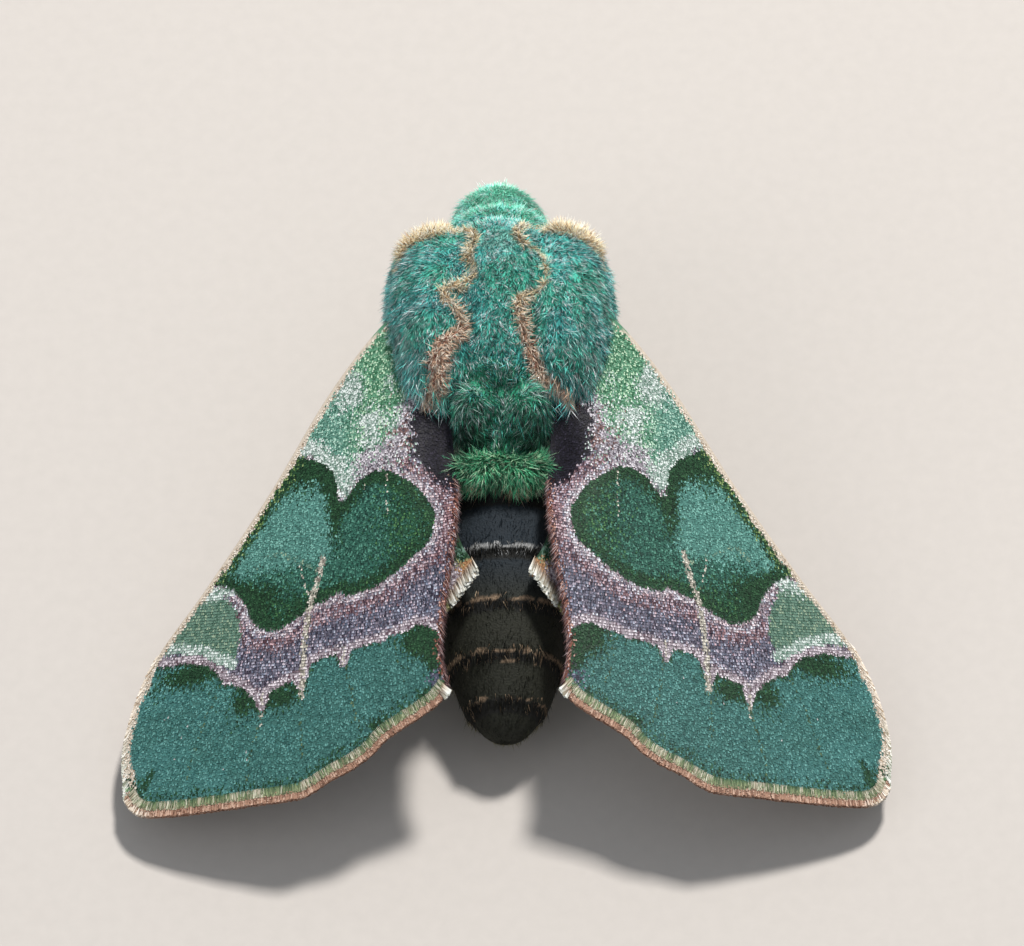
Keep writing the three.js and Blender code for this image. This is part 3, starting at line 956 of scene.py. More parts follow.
class BodyMarkings:
    """Markings of head, thorax and abdomen."""

    right_stripe = (
        (4.75, 2.5, 9.7), (4.47, 3.07, 10.1), (4.1, 3.55, 10.3), (3.62, 3.9, 10.5),
        (3.1, 4.2, 10.5), (2.6, 4.35, 10.4), (2.06, 4.5, 10.2), (1.6, 4.45, 10.6),
        (1.1, 4.2, 11.1), (0.8, 3.8, 11.4), (0.85, 3.4, 11.6), (1.1, 2.9, 11.65),
        (1.6, 2.7, 11.45), (1.95, 2.2, 11.3), (2.0, 1.1, 11.4), (1.8, 0.75, 11.4),
        (1.1, 0.35, 11.5), (0.8, -0.2, 11.45), (0.95, -0.9, 11.3), (1.25, -1.8, 10.9),
        (1.55, -2.5, 10.4), (1.75, -3.1, 10.1), (2.3, -3.6, 9.9), (3.0, -4.1, 9.2),
        (3.5, -4.2, 8.6),
    )
    left_stripe = (
        (-4.7, 2.5, 9.8), (-4.35, 3.15, 10.2), (-3.9, 3.7, 10.4), (-3.4, 3.95, 10.6),
        (-2.95, 4.2, 10.5), (-2.4, 4.4, 10.3), (-1.9, 4.4, 10.4), (-1.5, 4.2, 10.8),
        (-1.2, 3.8, 11.3), (-1.1, 3.2, 11.55), (-1.35, 2.4, 11.6), (-1.25, 1.7, 11.55),
        (-1.15, 1.3, 11.55), (-1.5, 1.05, 11.5), (-2.2, 0.7, 11.45), (-2.4, 0.3, 11.45),
        (-2.0, -0.1, 11.4), (-1.6, -0.7, 11.2), (-1.65, -1.1, 11.05), (-2.1, -1.5, 11.0),
        (-2.55, -2.0, 10.9), (-2.75, -2.7, 10.55), (-2.8, -3.4, 10.0), (-3.2, -3.9, 9.2),
        (-3.45, -4.1, 8.7),
    )
    along_skin = np.array([1, 1, 0.35])  # heights count for less, as the skin is nearly level

    # In these fur palettes the light hairs are partly painted glints and the dark hairs partly painted
    # shade between the hairs.
    green = Palette((112, 250, 218), (244, 255, 254), (10, 80, 66), 0.28, 0.34)
    blue_green = Palette((114, 248, 238), (244, 255, 255), (12, 78, 82), 0.28, 0.34)
    # painted glints: near-white hair laid where highlights fall on the fur
    painted_glint = Palette((170, 255, 238), (255, 255, 255), (60, 150, 140), 0.3, 0.24)
    head_green = Palette((150, 255, 220), (246, 255, 252), (76, 196, 158), 0.24, 0.2)
    # nape_green and nape_low are partly painted shade: the rear of the thorax and the hollow behind
    # the nape tufts.
    nape_green = Palette((70, 188, 146), (226, 255, 244), (12, 66, 50), 0.24, 0.36)
    nape_low = Palette((40, 98, 76), (150, 206, 176), (8, 34, 26), 0.14, 0.4)
    crest_green = Palette((84, 196, 140), (206, 252, 204), (14, 68, 42), 0.28, 0.32)
    cream = Palette((255, 236, 192), (255, 253, 236), (196, 152, 104), 0.36, 0.2)
    fawn = Palette((244, 206, 174), (255, 244, 226), (150, 92, 74), 0.38, 0.26)
    breast = Palette((168, 168, 142), (206, 202, 180), (116, 122, 102), 0.25, 0.25)
    face = Palette((112, 170, 138), (180, 210, 176), (66, 108, 86), 0.25, 0.25)
    # The abdomen's tones are partly its own dark colour and partly painted shade from the thorax and
    # wings.
    ring_blue = Palette((42, 52, 60), (58, 70, 82), (28, 34, 40), 0.2, 0.3)
    ring_olive = Palette((50, 51, 41), (66, 67, 52), (34, 35, 29), 0.15, 0.3)
    ring_front = Palette((42, 42, 39), (54, 54, 47), (28, 28, 26), 0.15, 0.3)
    ring_line = Palette((196, 196, 194), (240, 240, 240), (128, 124, 118), 0.3, 0.25)
    ring_tan = Palette((168, 142, 116), (206, 182, 152), (112, 92, 72), 0.25, 0.25)
    belly = Palette((156, 148, 118), (200, 190, 156), (108, 102, 80), 0.25, 0.25)

    def __init__(self) -> None:
        """Draws the two stripes."""
        self.stripes = [curve_through(line) for line in (self.right_stripe, self.left_stripe)]

    def drape(self, skin: Array) -> None:
        """Brings the stripes to the height of the skin's top beside the midline."""
        top = skin[skin[:, 2] > 8]
        laid = []
        for line in self.stripes:
            close = np.linalg.norm(line[:, None, :2] - top[None, :, :2], axis=2) < 0.2
            found = close.any(1) & (np.abs(line[:, 0]) < 2.3)
            height = np.where(close, top[None, :, 2], 0).max(1) + 0.2
            laid.append(np.column_stack([line[:, :2], np.where(found, height, line[:, 2])]))
        self.stripes = laid

    def stripe_at(self, places: Array) -> tuple[Array, Array, Array]:
        """How places lie to the stripes.

        Args:
            places: rows of places.

        Returns:
            The distance to the nearer stripe, a value from 0 at its front to 1 at its
            rear, and the stripe's half width there.
        """
        flat = places * self.along_skin
        far = np.min([nearest(line * self.along_skin, flat)[0] for line in self.stripes], axis=0)
        plan = places[:, :2]
        aft = ramp(1.4, -1.6, plan[:, 1])
        reach = 0.15 + 0.02 * aft + 0.27 * stripe_roll(places)
        reach -= 0.08 * blob(plan, (1.7, 1.5), (0.8, 1.2))
        reach += 0.17 * blob(plan, (-2.75, -2.6), (0.7, 1.0))
        reach += 0.05 * blob(plan, (1.7, -3.0), (1.0, 1.0))
        return far, aft, reach + 0.05 * SoftNoise(0.3, 23).at(places)

    def colours(
        self, shown: Array, up: Array, part: Array, rng: Rng | None
    ) -> Array:
        """Colours of places on the body.

        Args:
            shown: where the visible end of each strand lies.
            up: the skin's outward direction there.
            part: the value of the Part that each place belongs to.
            rng: gives each strand its luck; None gives the middle colour of each zone.

        Returns:
            Rows of linear colour.
        """
        brush = Brush(len(shown), rng)
        if rng:
            # Luck alike in streaks groups the light hairs, partly painted glints, and the dark hairs,
            # partly painted shade.
            streaks = 0.34 * SoftNoise(0.13, 29).at(shown)
            brush.luck = np.clip(0.5 + 0.8 * (brush.luck - 0.5) + streaks, 0, 1)
        y, luck = shown[:, 1], brush.luck
        nape, crest = part == Part.NAPE.value, part == Part.CREST.value
        patches = ramp(-0.5, 0.5, SoftNoise(1.3, 3).at(shown))
        brush.tone = blend(self.green, self.blue_green, patches, luck)
        # Painted glints over the front of the disc and the rear sides of the tegulae.
        brush.lay(0.7 * blob(shown, (0.0, 3.0, 11.4), (1.5, 1.5, 2.0)), self.painted_glint)
        rear_side = ramp(2.6, 3.6, np.abs(shown[:, 0])) * ramp(0.5, -1.5, y)
        brush.lay(0.35 * rear_side, self.painted_glint)
        # Lighter green on the head, partly painted light falling from the front.
        brush.lay(ramp(4.5, 6.6, y), self.head_green)
        # Darker greens at the rear of the thorax and behind the nape tufts, partly painted shade.
        rear = nape + ramp(-1.6, -3.6, y) * (part == Part.TRUNK.value)
        brush.lay(np.minimum(rear, 1) * 0.8, self.nape_green)
        brush.lay(nape * ramp(-4.7, -5.3, y) * 0.85, self.nape_low)
        brush.tone = np.where(crest[:, None], self.crest_green.pick(luck), brush.tone)
        behind = crest * ramp(-7.3, -7.7, y) * ramp(8.6, 7.9, shown[:, 2])
        brush.lay(behind * 0.6, self.ring_tan)
        far, aft, reach = self.stripe_at(shown)
        in_stripe = ramp(reach + 0.07, reach - 0.07, far) * (part < Part.CREST.value)
        brush.lay(in_stripe, blend(self.cream, self.fawn, aft, luck))
        brush.lay(ramp(-0.15, -0.6, up[:, 2]), self.breast)
        brush.lay(ramp(7.6, 8.3, y) * ramp(6.4, 5.4, shown[:, 2]), self.face)
        rest = brush.tone
        self.paint_abdomen(brush, shown, up)
        return np.where((part == Part.ABDOMEN.value)[:, None], brush.tone, rest)

    def paint_abdomen(self, brush: Brush, shown: Array, up: Array) -> None:
        """Dark rings, partly painted shade, each paler to its rear and ending in a line of pale hair.

        Args:
            brush: the brush, whose colours are painted over.
            shown: where the visible end of each strand lies.
            up: the skin's outward direction there.
        """
        y, luck = shown[:, 1], brush.luck
        brush.tone = blend(self.ring_blue, self.ring_olive, ramp(-9.6, -12.5, y), luck)
        line = blend(self.ring_line, self.ring_tan, ramp(-10.0, -11.5, y), luck)
        waves = 0.1 * SoftNoise(0.35, 83).at(shown * [1, 0, 0])
        for front, rear in zip(RING_ENDS, (*RING_ENDS[1:], -18)):
            inside = (y < front) & (y > rear)
            start = ramp(0.5 * (front + rear) + 0.2, front, y) * inside
            brush.lay(start * 0.9, self.ring_front)
            before = y - rear + 0.1 + waves
            edge = ramp(0.38, 0.14, before) * ramp(-0.3, -0.14, before)
            brush.lay(edge * (0.95 - 0.45 * ramp(-11, -16, y)), line)
        brush.lay(ramp(-0.1, -0.55, up[:, 2]), self.belly)


def stripe_roll(places: Array) -> Array:
    """1 where the stripes swell into a roll over the wing bases, and 0 elsewhere."""
    return ramp(2.9, 3.6, places[:, 1]) * ramp(1.9, 2.7, np.abs(places[:, 0]))


# ---- coats ----


class StrandKind(Enum):
    """The shapes that a strand of coat has."""

    HAIR = "hair"
    SPIKE = "spike"
    SCALE = "scale"


def cut_across(bm: BMesh, height: float) -> dict:
    """Cuts a bmesh at a height and returns what the cut made."""
    geom = [*bm.verts, *bm.edges, *bm.faces]
    return bmesh.ops.bisect_plane(bm, geom=geom, plane_co=(0, 0, height), plane_no=(0, 0, 1))


def strand_template(kind: StrandKind) -> tuple[Array, Array]:
    """The one strand that a coat repeats.

    Args:
        kind: SPIKE tapers to its free end, HAIR does so over a knee, and SCALE
            widens to a broad end.

    Returns:
        Vertices as across, above and along from 0 to 1, and triangles of their numbers.
    """
    bm = bmesh.new()
    bmesh.ops.create_cone(bm, cap_ends=True, segments=3, radius1=1, radius2=0, depth=1)
    bmesh.ops.remove_doubles(bm, verts=bm.verts, dist=1e-5)
    if kind is StrandKind.HAIR:
        made = cut_across(bm, 0)["geom_cut"]
        knee = [item for item in made if isinstance(item, BMVert)]
        bmesh.ops.scale(bm, verts=knee, vec=(1.7, 1.7, 1))
    if kind is StrandKind.SCALE:
        bmesh.ops.rotate(bm, verts=bm.verts, matrix=Matrix.Rotation(math.pi, 3, "X"))
    bmesh.ops.translate(bm, verts=bm.verts, vec=(0, 0, 0.5))
    bmesh.ops.triangulate(bm, faces=bm.faces)
    bmesh.ops.recalc_face_normals(bm, faces=bm.faces)
    bm.verts.index_update()
    corners = np.array([vertex.co[:] for vertex in bm.verts])
    faces = np.array([[vertex.index for vertex in face.verts] for face in bm.faces])
    bm.free()
    return corners, faces


@dataclass
class Strands:
    """Where each strand of a coat stands, how it leans and what it looks like."""

    root: Array
    lean: Array
    up: Array
    length: Array
    width: Array
    lift: Array
    fall: Array
    root_tint: Array
    tip_tint: Array
    patch: Array

    def kept(self, keep: Array) -> "Strands":
        """Only the strands that keep picks."""
        return Strands(*(getattr(self, item.name)[keep] for item in fields(self)))

    def tips(self) -> Array:
        """Where the visible ends lie."""
        return self.root + self.line(np.array([0.75]))[:, 0]

    def line(self, share: Array) -> Array:
        """Places along each strand, from its root, at shares of its length."""
        angle, last = self.lift[:, None], (self.lift - self.fall)[:, None]
        first = np.cos(angle) * self.lean + np.sin(angle) * self.up
        final = np.cos(last) * self.lean + np.sin(last) * self.up
        share = share[None, :, None]
        run = share * first[:, None] + share**2 / 2 * (final - first)[:, None]
        return run * self.length[:, None, None]


def joined(lots: Iterable[Strands]) -> Strands:
    """Several lots of strands as one."""
    rows = zip(*([getattr(lot, item.name) for item in fields(lot)] for lot in lots))
    return Strands(*map(np.concatenate, rows))


def turned(lean: Array, up: Array, angle: Array) -> Array:
    """Directions along a surface, turned about its outward directions."""
    return lean * np.cos(angle)[:, None] + np.cross(up, lean) * np.sin(angle)[:, None]


@dataclass(frozen=True)
class Coat:
    """Joins all strands of one coat into one mesh of small closed solids."""

    kind: StrandKind
    flatness: float = 0.5
    floor: float = 0.004
    patch_size: float = 0.003

    def build(self, name: str, strands: Strands, material: Material) -> Object:
        """Makes the coat.

        Args:
            name: the piece's name.
            strands: the strands.
            material: the coat's finish.

        Returns:
            The coat as one object.
        """
        corners, faces = strand_template(self.kind)
        across, above, along = corners.T
        side = unit(np.cross(strands.up, strands.lean))
        wide = strands.width[:, None, None] / 2
        places = strands.root[:, None] + strands.line(along)
        places = places + side[:, None] * across[None, :, None] * wide
        places = places + strands.up[:, None] * above[None, :, None] * wide * self.flatness
        places[..., 2] = np.maximum(places[..., 2], self.floor)
        share = along[None, :, None] ** 0.8
        colours = strands.root_tint[:, None] * (1 - share) + strands.tip_tint[:, None] * share
        count, each = len(strands.root), len(corners)
        numbers = (faces[None] + (np.arange(count) * each)[:, None, None]).reshape(-1, 3)
        mesh = bpy.data.meshes.new(name)
        mesh.vertices.add(count * each)
        mesh.vertices.foreach_set("co", to_frame(places.reshape(-1, 3)).astype(np.float32).ravel())
        mesh.loops.add(numbers.size)
        mesh.loops.foreach_set("vertex_index", numbers.astype(np.int32).ravel())
        mesh.polygons.add(len(numbers))
        mesh.polygons.foreach_set("loop_start", np.arange(0, numbers.size, 3, dtype=np.int32))
        mesh.update(calc_edges=True)
        smooth = self.kind is not StrandKind.SCALE
        mesh.polygons.foreach_set("use_smooth", np.full(len(numbers), smooth))
        paint_vertices(mesh, colours.reshape(-1, 3))
        self.lay_patches(mesh, strands.patch, corners, numbers)
        mesh.materials.append(material)
        return add_object(name, mesh)

    def lay_patches(self, mesh: Mesh, patch: Array, corners: Array, numbers: Array) -> None:
        """Gives each strand its own small patch of the OFBake map.

        Args:
            mesh: the coat's mesh.
            patch: the middle of each strand's patch, from 0 to 1.
            corners: the template's vertices.
            numbers: the vertex of each corner of each triangle.
        """
        low, high = patch.min(0), patch.max(0)
        middle = (patch - low) / np.maximum(high - low, 1e-9) * 0.99 + 0.005
        across, above, along = corners.T
        shift = np.stack([across * 0.5, along - 0.5 + above * 0.12], -1) * self.patch_size
        spread = (middle[:, None] + shift[None]).reshape(-1, 2)
        layer = mesh.uv_layers.new(name="OFBake")
        layer.data.foreach_set("uv", spread[numbers.ravel()].astype(np.float32).ravel())


# ---- body ----


@dataclass(frozen=True)
class HairStyle:
    """How hair grows on one part of the body.

    Down and guard are the numbers of short spikes and of longer bent hairs for each
    square millimetre. Hair rises by lift degrees at its root and bends back by fall.
    Thin_below is the share of the hair that faces below lack, tangle is how far it
    strays to the side, and gather is how much it turns to the middle of its tuft.
    """

    down: float
    guard: float
    length: float
    lift: float
    fall: float = 12.0
    thin_below: float = 0.5
    tangle: float = 0.34
    gather: float = 0.0


HAIR_STYLES = {
    Part.HEAD: HairStyle(620, 60, 0.55, 35),
    Part.PALP: HairStyle(520, 40, 0.36, 24),
    Part.COLLAR: HairStyle(460, 50, 0.6, 42, gather=0.2),
    Part.TRUNK: HairStyle(460, 50, 0.62, 43, gather=0.5),
    Part.SHOULDER: HairStyle(430, 48, 0.68, 38, gather=0.55),
    Part.NAPE: HairStyle(560, 110, 0.95, 30, gather=0.5),
    Part.CREST: HairStyle(520, 330, 1.05, 48, 26, tangle=0.5),
    Part.ABDOMEN: HairStyle(170, 14, 0.5, 12, 8.0, 0.3, 0.24),
}
DOWN_SHARE = 0.7  # length of the down against the guard hair
HAIR_WIDTH = {StrandKind.SPIKE: 0.042, StrandKind.HAIR: 0.044}
LENGTH_RANGE = (0.62, 1.12)  # shares of a style's length that its hairs have
WIDTH_RANGE = (0.75, 1.3)
LIFT_STRAY, FALL_STRAY = 10, 8  # degrees
ROOT_DEPTH = 0.05  # how deep hair stands in the skin
# Darker hair roots are painted shade deep in the coat; on the abdomen they are only a little darker.
ROOT_SHADE = 0.3  # brightness of a hair's root against its tip
RING_SHADE = 0.8  # the same on the abdomen
TUFTS = SoftNoise(0.42, 41)  # the tufts that hair gathers in
# Tuft shading is painted light on the middles of the tufts and painted shade between them.
TUFT_SHADING = 0.6  # how much lighter a tuft's middle is than its edge
STRIPE_DENSITY = 740  # cord hairs for each square millimetre
GREEN_LOOK = CoatFinish("green_hair", roughness=0.4, shine=0.6, uneven=0.5, brightness=1.08)
# The abdomen's coat is darkened further, partly as painted shade.
DARK_LOOK = CoatFinish("dark_hair", roughness=0.65, shine=0.1, uneven=0.3, brightness=0.7)


@dataclass(frozen=True)
class Relief:
    """A soft bump of the skin, or a hollow where the height is below 0."""

    centre: Place
    radii: tuple[float, float, float]
    height: float


RELIEFS = (
    Relief((0.0, 6.85, 8.7), (1.7, 0.4, 0.7), 0.16),
    Relief((0.0, -3.5, 10.3), (0.85, 0.5, 0.9), -0.55),
    Relief((0.0, -4.7, 9.6), (0.22, 0.8, 0.9), -0.3),
    *(Relief((side * 1.2, -4.25, 9.9), (0.75, 0.42, 0.6), 0.34) for side in (1, -1)),
    *(Relief((side * 1.0, -5.45, 8.6), (0.6, 0.4, 0.6), -0.35) for side in (1, -1)),
    *(Relief((side * 1.3, -1.2, 10.9), (0.3, 1.6, 0.6), -0.12) for side in (1, -1)),
)


class Body:
    """Head, thorax and abdomen: one skin and the coats that grow on it."""

    voxel: float = 0.16
    ring_step: float = 0.13  # how far each abdomen ring widens to its rear
    shown_share: float = 0.6  # of the coat's depth, where its colours are read for the skin

    def __init__(self, rng: Rng) -> None:
        """Keeps the source of random values."""
        self.rng = rng
        self.markings = BodyMarkings()

    def ring_swell(self, y: Array) -> Array:
        """How far each abdomen ring widens towards its rear edge."""
        swell = np.zeros(len(y))
        for front, rear in zip((-5.0, *RING_ENDS), (*RING_ENDS, -17.5)):
            share = np.clip((front - y) / (front - rear), 0, 1)
            swell += np.where((y <= front) & (y > rear), self.ring_step * share**1.5, 0)
        return swell - 0.06

    def add_form(self, bm: BMesh, part: Part, side: int) -> None:
        """Adds one form under its coat's depth.

        Args:
            bm: the bmesh that takes it.
            part: the part that it is the form of.
            side: 1 for the right, -1 for the left.
        """
        form = FORMS[part]
        grown = bmesh.ops.create_uvsphere(bm, u_segments=72, v_segments=96, radius=1)
        turn = Matrix.Rotation(-math.pi / 2, 3, "X")
        bmesh.ops.rotate(bm, verts=grown["verts"], matrix=turn)
        ball = np.array([vertex.co[:] for vertex in grown["verts"]])
        places = form.surface(ball, side, -form.coat)
        if part is Part.ABDOMEN:
            y = places[:, 1]
            middle = np.stack([np.zeros(len(y)), y, form.centre(y)], -1)
            places += unit(places - middle) * self.ring_swell(y)[:, None]
        move_vertices(grown["verts"], places)

    def joined_forms(self) -> Mesh:
        """All forms under their coats' depth as one closed mesh, in millimetres."""
        bm = bmesh.new()
        for part, form in FORMS.items():
            for side in sides_of(form):
                self.add_form(bm, part, side)
        bmesh.ops.recalc_face_normals(bm, faces=bm.faces)
        rough = bpy.data.meshes.new("skin_forms")
        bm.to_mesh(rough)
        bm.free()
        stand_in = add_object("skin_forms", rough)
        remesh = stand_in.modifiers.new("joined", "REMESH")
        remesh.mode, remesh.voxel_size = "VOXEL", self.voxel
        soften = stand_in.modifiers.new("softened", "SMOOTH")
        soften.factor, soften.iterations = 0.5, 4
        graph = bpy.context.evaluated_depsgraph_get()
        mesh = bpy.data.meshes.new_from_object(stand_in.evaluated_get(graph))
        bpy.data.objects.remove(stand_in)
        return mesh

    def build_skin(self) -> None:
        """Makes the skin, colours it and measures where hair can grow."""
        mesh = self.joined_forms()
        mesh.name = "body_skin"
        places, normals = vertex_rows(mesh, "co"), vertex_rows(mesh, "normal")
        for relief in RELIEFS:
            rise = relief.height * blob(places, relief.centre, relief.radii)
            places = places + normals * rise[:, None]
        mesh.vertices.foreach_set("co", to_frame(places).astype(np.float32).ravel())
        mesh.polygons.foreach_set("use_smooth", [True] * len(mesh.polygons))
        mesh.update()
        mesh.calc_loop_triangles()
        corner = np.empty(len(mesh.loop_triangles) * 3, np.int32)
        mesh.loop_triangles.foreach_get("vertices", corner)
        self.corner, self.places = corner.reshape(-1, 3), places
        self.normals = vertex_rows(mesh, "normal")
        self.part = self.part_of(places[self.corner].mean(1))
        part = self.part_of(places)
        coat = np.array([form.coat for form in FORMS.values()])[part]
        shown = places + self.normals * coat[:, None] * self.shown_share
        self.markings.drape(places)
        paint_vertices(mesh, self.markings.colours(shown, self.normals, part, None))
        mesh.materials.append(SkinFinish("body_skin_nap").make())
        rings = [f"abdomen_{number}" for number in range(1, 6)]
        flesh = ["head", "collar", "thorax", "crest", "abdomen_tip", *rings]
        pairs = [f"{name}_{side}" for name in ("palp", "tegula") for side in SIDES]
        settle(add_object("body_skin", mesh), "green_coat", *flesh, *pairs)

    def part_of(self, places: Array) -> Array:
        """The value of the Part whose form each place lies on."""
        rows = [
            np.min([form.value(places, side, -form.coat) for side in sides_of(form)], axis=0)
            for form in FORMS.values()
        ]
        return np.argmin(rows, axis=0)

    def roots(self, wanted: Part, side: int | None, per_area: float) -> tuple[Array, Array]:
        """Random places on one part of the skin.

        Args:
            wanted: the part.
            side: 1 or -1 for one side only, None for the whole part.
            per_area: places for each square millimetre.

        Returns:
            Places and outward directions.
        """
        keep = self.part == wanted.value
        if side is not None:
            keep &= self.places[self.corner, 0].mean(1) * side > 0
        corner = self.corner[keep]
        spans = self.places[corner]
        first, second = spans[:, 1] - spans[:, 0], spans[:, 2] - spans[:, 0]
        area = np.linalg.norm(np.cross(first, second), axis=1) / 2
        facing = self.normals[corner].mean(1)[:, 2]
        weight = area * (1 - HAIR_STYLES[wanted].thin_below * ramp(0.1, -0.5, facing))
        count = int(weight.sum() * per_area)
        pick = self.rng.choice(len(corner), count, p=weight / weight.sum())
        share = self.rng.random((count, 2))
        share = np.where(share.sum(1, keepdims=True) > 1, 1 - share, share)
        parts = np.column_stack([1 - share.sum(1), share])[..., None]
        where = (spans[pick] * parts).sum(1)
        up = unit((self.normals[corner[pick]] * parts).sum(1))
        rim = 0.2 - 0.25 * ramp(6.1, 6.7, where[:, 2])  # bare skin round the eyes
        clear = np.min([EYE.value(where, hand, rim) for hand in (1, -1)], axis=0) > 1
        return where[clear], up[clear]

    def flow(self, where: Array, up: Array, wanted: Part) -> Array:
        """Which way the hair lies.

        Args:
            where: the roots.
            up: the skin's outward directions.
            wanted: the part that they are on.

        Returns:
            Unit directions along the skin.
        """
        x, y, z = where.T
        side = np.sign(x)
        lean = np.zeros((len(x), 3))
        lean[:, 1] = -1
        if wanted is Part.SHOULDER:
            lean[:, 0] = side * (0.15 + 0.95 * ramp(-0.8, 3.2, y) - 0.25 * ramp(-2.2, -3.8, y))
        elif wanted is Part.TRUNK:
            lean[:, 0] = -side * 0.75 * ramp(-0.8, -2.8, y) * ramp(0.1, 0.8, np.abs(x))
        elif wanted is Part.NAPE:
            lean[:, 0] = side * (1.5 * ramp(-4.5, -3.6, y) - 0.75 * ramp(-4.5, -5.3, y))
        elif wanted is Part.CREST:
            lean[:, 0] = x * 0.3
        elif wanted is Part.PALP:
            lean[:] = (0, 0.5, 0.9)
        elif wanted is Part.HEAD:
            down = ramp(7.9, 8.6, y) * ramp(7.0, 5.5, z)
            lean = between(lean, np.array([0, 0.3, -1.0]), down)
        stray = self.rng.normal(0, HAIR_STYLES[wanted].tangle, len(x))
        lean = unit(lean - up * (lean * up).sum(1, keepdims=True))
        return turned(lean, up, stray + 0.5 * SoftNoise(0.5, 31).at(where))

    def gathered(self, lean: Array, where: Array, up: Array, pull: float) -> Array:
        """Turns hairs towards the middle of their tuft.

        Args:
            lean: directions along the skin.
            where: the roots.
            up: the skin's outward directions.
            pull: how much they turn.

        Returns:
            Unit directions along the skin.
        """
        if not pull:
            return lean
        step = TUFTS.size / 8
        moves = np.eye(3) * step
        slope = np.stack([TUFTS.at(where + move) - TUFTS.at(where - move) for move in moves], -1)
        slope *= TUFTS.size / (2 * step)
        return unit(lean + pull * (slope - up * (slope * up).sum(1, keepdims=True)))

    def hair_on(self, wanted: Part, kind: StrandKind, side: int | None = None) -> Strands:
        """Grows the hair of one part.

        Args:
            wanted: the part.
            kind: SPIKE for the down, HAIR for the guard hair.
            side: one side only, or None.

        Returns:
            The hair.
        """
        style, rng = HAIR_STYLES[wanted], self.rng
        down = kind is StrandKind.SPIKE
        where, up = self.roots(wanted, side, style.down if down else style.guard)
        count = len(where)
        clump = TUFTS.at(where)
        length = style.length * rng.uniform(*LENGTH_RANGE, count) * (1 + 0.2 * clump)
        lift = style.lift + rng.normal(0, LIFT_STRAY, count) + 9 * SoftNoise(0.8, 43).at(where)
        hair = Strands(
            root=where - up * ROOT_DEPTH,
            lean=self.gathered(self.flow(where, up, wanted), where, up, style.gather),
            up=up,
            length=length * (DOWN_SHARE if down else 1),
            width=HAIR_WIDTH[kind] * rng.uniform(*WIDTH_RANGE, count),
            lift=np.radians(lift),
            fall=np.radians(style.fall + rng.normal(0, FALL_STRAY, count)),
            root_tint=np.zeros((count, 3)),
            tip_tint=np.zeros((count, 3)),
            patch=np.stack([FORMS[wanted].around(where, side or 1), where[:, 1]], -1),
        )
        if wanted is Part.HEAD:
            brow = blob(np.abs(where), (1.55, 7.4, 7.4), (0.45, 0.7, 0.6))
            hair.length = hair.length * (1 + 1.1 * brow)
        if wanted is Part.SHOULDER:
            hair.length = hair.length * (1 + 0.65 * ramp(-1.0, -3.6, where[:, 1]))
        if wanted is Part.ABDOMEN:
            self.raise_ring_edges(hair)
        part = np.full(count, wanted.value)
        # painted light and shade of the tufts
        lightness = np.maximum(1 + TUFT_SHADING * clump, 0.4)[:, None]
        hair.tip_tint = self.markings.colours(hair.tips(), up, part, rng) * lightness
        hair.root_tint = hair.tip_tint * (RING_SHADE if wanted is Part.ABDOMEN else ROOT_SHADE)
        return hair

    def raise_ring_edges(self, hair: Strands) -> None:
        """Hair at the rear edge of each ring is longer and hangs over the next ring."""
        for end in RING_ENDS:
            near = ramp(0.4, 0.1, np.abs(hair.root[:, 1] - end - 0.25))
            loose = 0.5 + 0.5 * SoftNoise(0.3, 79).at(hair.root)
            hair.length = hair.length * (1 + 0.9 * near * loose)
            hair.lift = hair.lift + np.radians(7) * near * loose

    def stripe_hair(self) -> Strands:
        """Upright hair, leaning every way, that swells the pale stripes into soft cords."""
        parts = (Part.COLLAR, Part.TRUNK, Part.SHOULDER, Part.NAPE)
        found = [self.roots(part, None, STRIPE_DENSITY) for part in parts]
        where, up = map(np.concatenate, zip(*found))
        far, aft, reach = self.markings.stripe_at(where)
        keep = (far < reach * 0.9) & (up[:, 2] > 0.1)
        where, up, aft, share = where[keep], up[keep], aft[keep], (far / reach)[keep]
        count, rng = len(where), self.rng
        lean = turned(self.flow(where, up, Part.TRUNK), up, rng.normal(0, 1.1, count))
        tone = blend(self.markings.cream, self.markings.fawn, aft, rng.random(count))
        lumps = 1 + 1.6 * SoftNoise(0.45, 89).at(where)
        swell = 1 + 0.2 * aft - 0.25 * share + 0.16 * stripe_roll(where) * lumps
        return Strands(
            root=where - up * 0.03,
            lean=lean,
            up=up,
            length=rng.uniform(0.5, 0.8, count) * swell,
            width=0.048 * rng.uniform(0.8, 1.3, count),
            lift=np.radians(rng.normal(62, 18, count) - 18 * share),
            fall=np.radians(rng.normal(20, 16, count)),
            # darker roots: painted shade at the base of the cords
            root_tint=tone * 0.6,
            tip_tint=tone,
            patch=np.stack([FORMS[Part.TRUNK].around(where, 1), where[:, 1]], -1),
        )

    def build_coat(self, name: str, slot: str, *parts: Part, side: int | None = None) -> None:
        """Makes the down and the guard hair of some parts.

        Args:
            name: start of the pieces' names.
            slot: the record's material slot.
            parts: the parts.
            side: one side only, or None.
        """
        look = DARK_LOOK if slot == "dark_coat" else GREEN_LOOK
        material = replace(look, name=f"{name}_finish").make()
        for kind, layer in ((StrandKind.SPIKE, "down"), (StrandKind.HAIR, "guard")):
            hair = joined(self.hair_on(part, kind, side) for part in parts)
            settle(Coat(kind).build(f"{name}_{layer}", hair, material), slot)

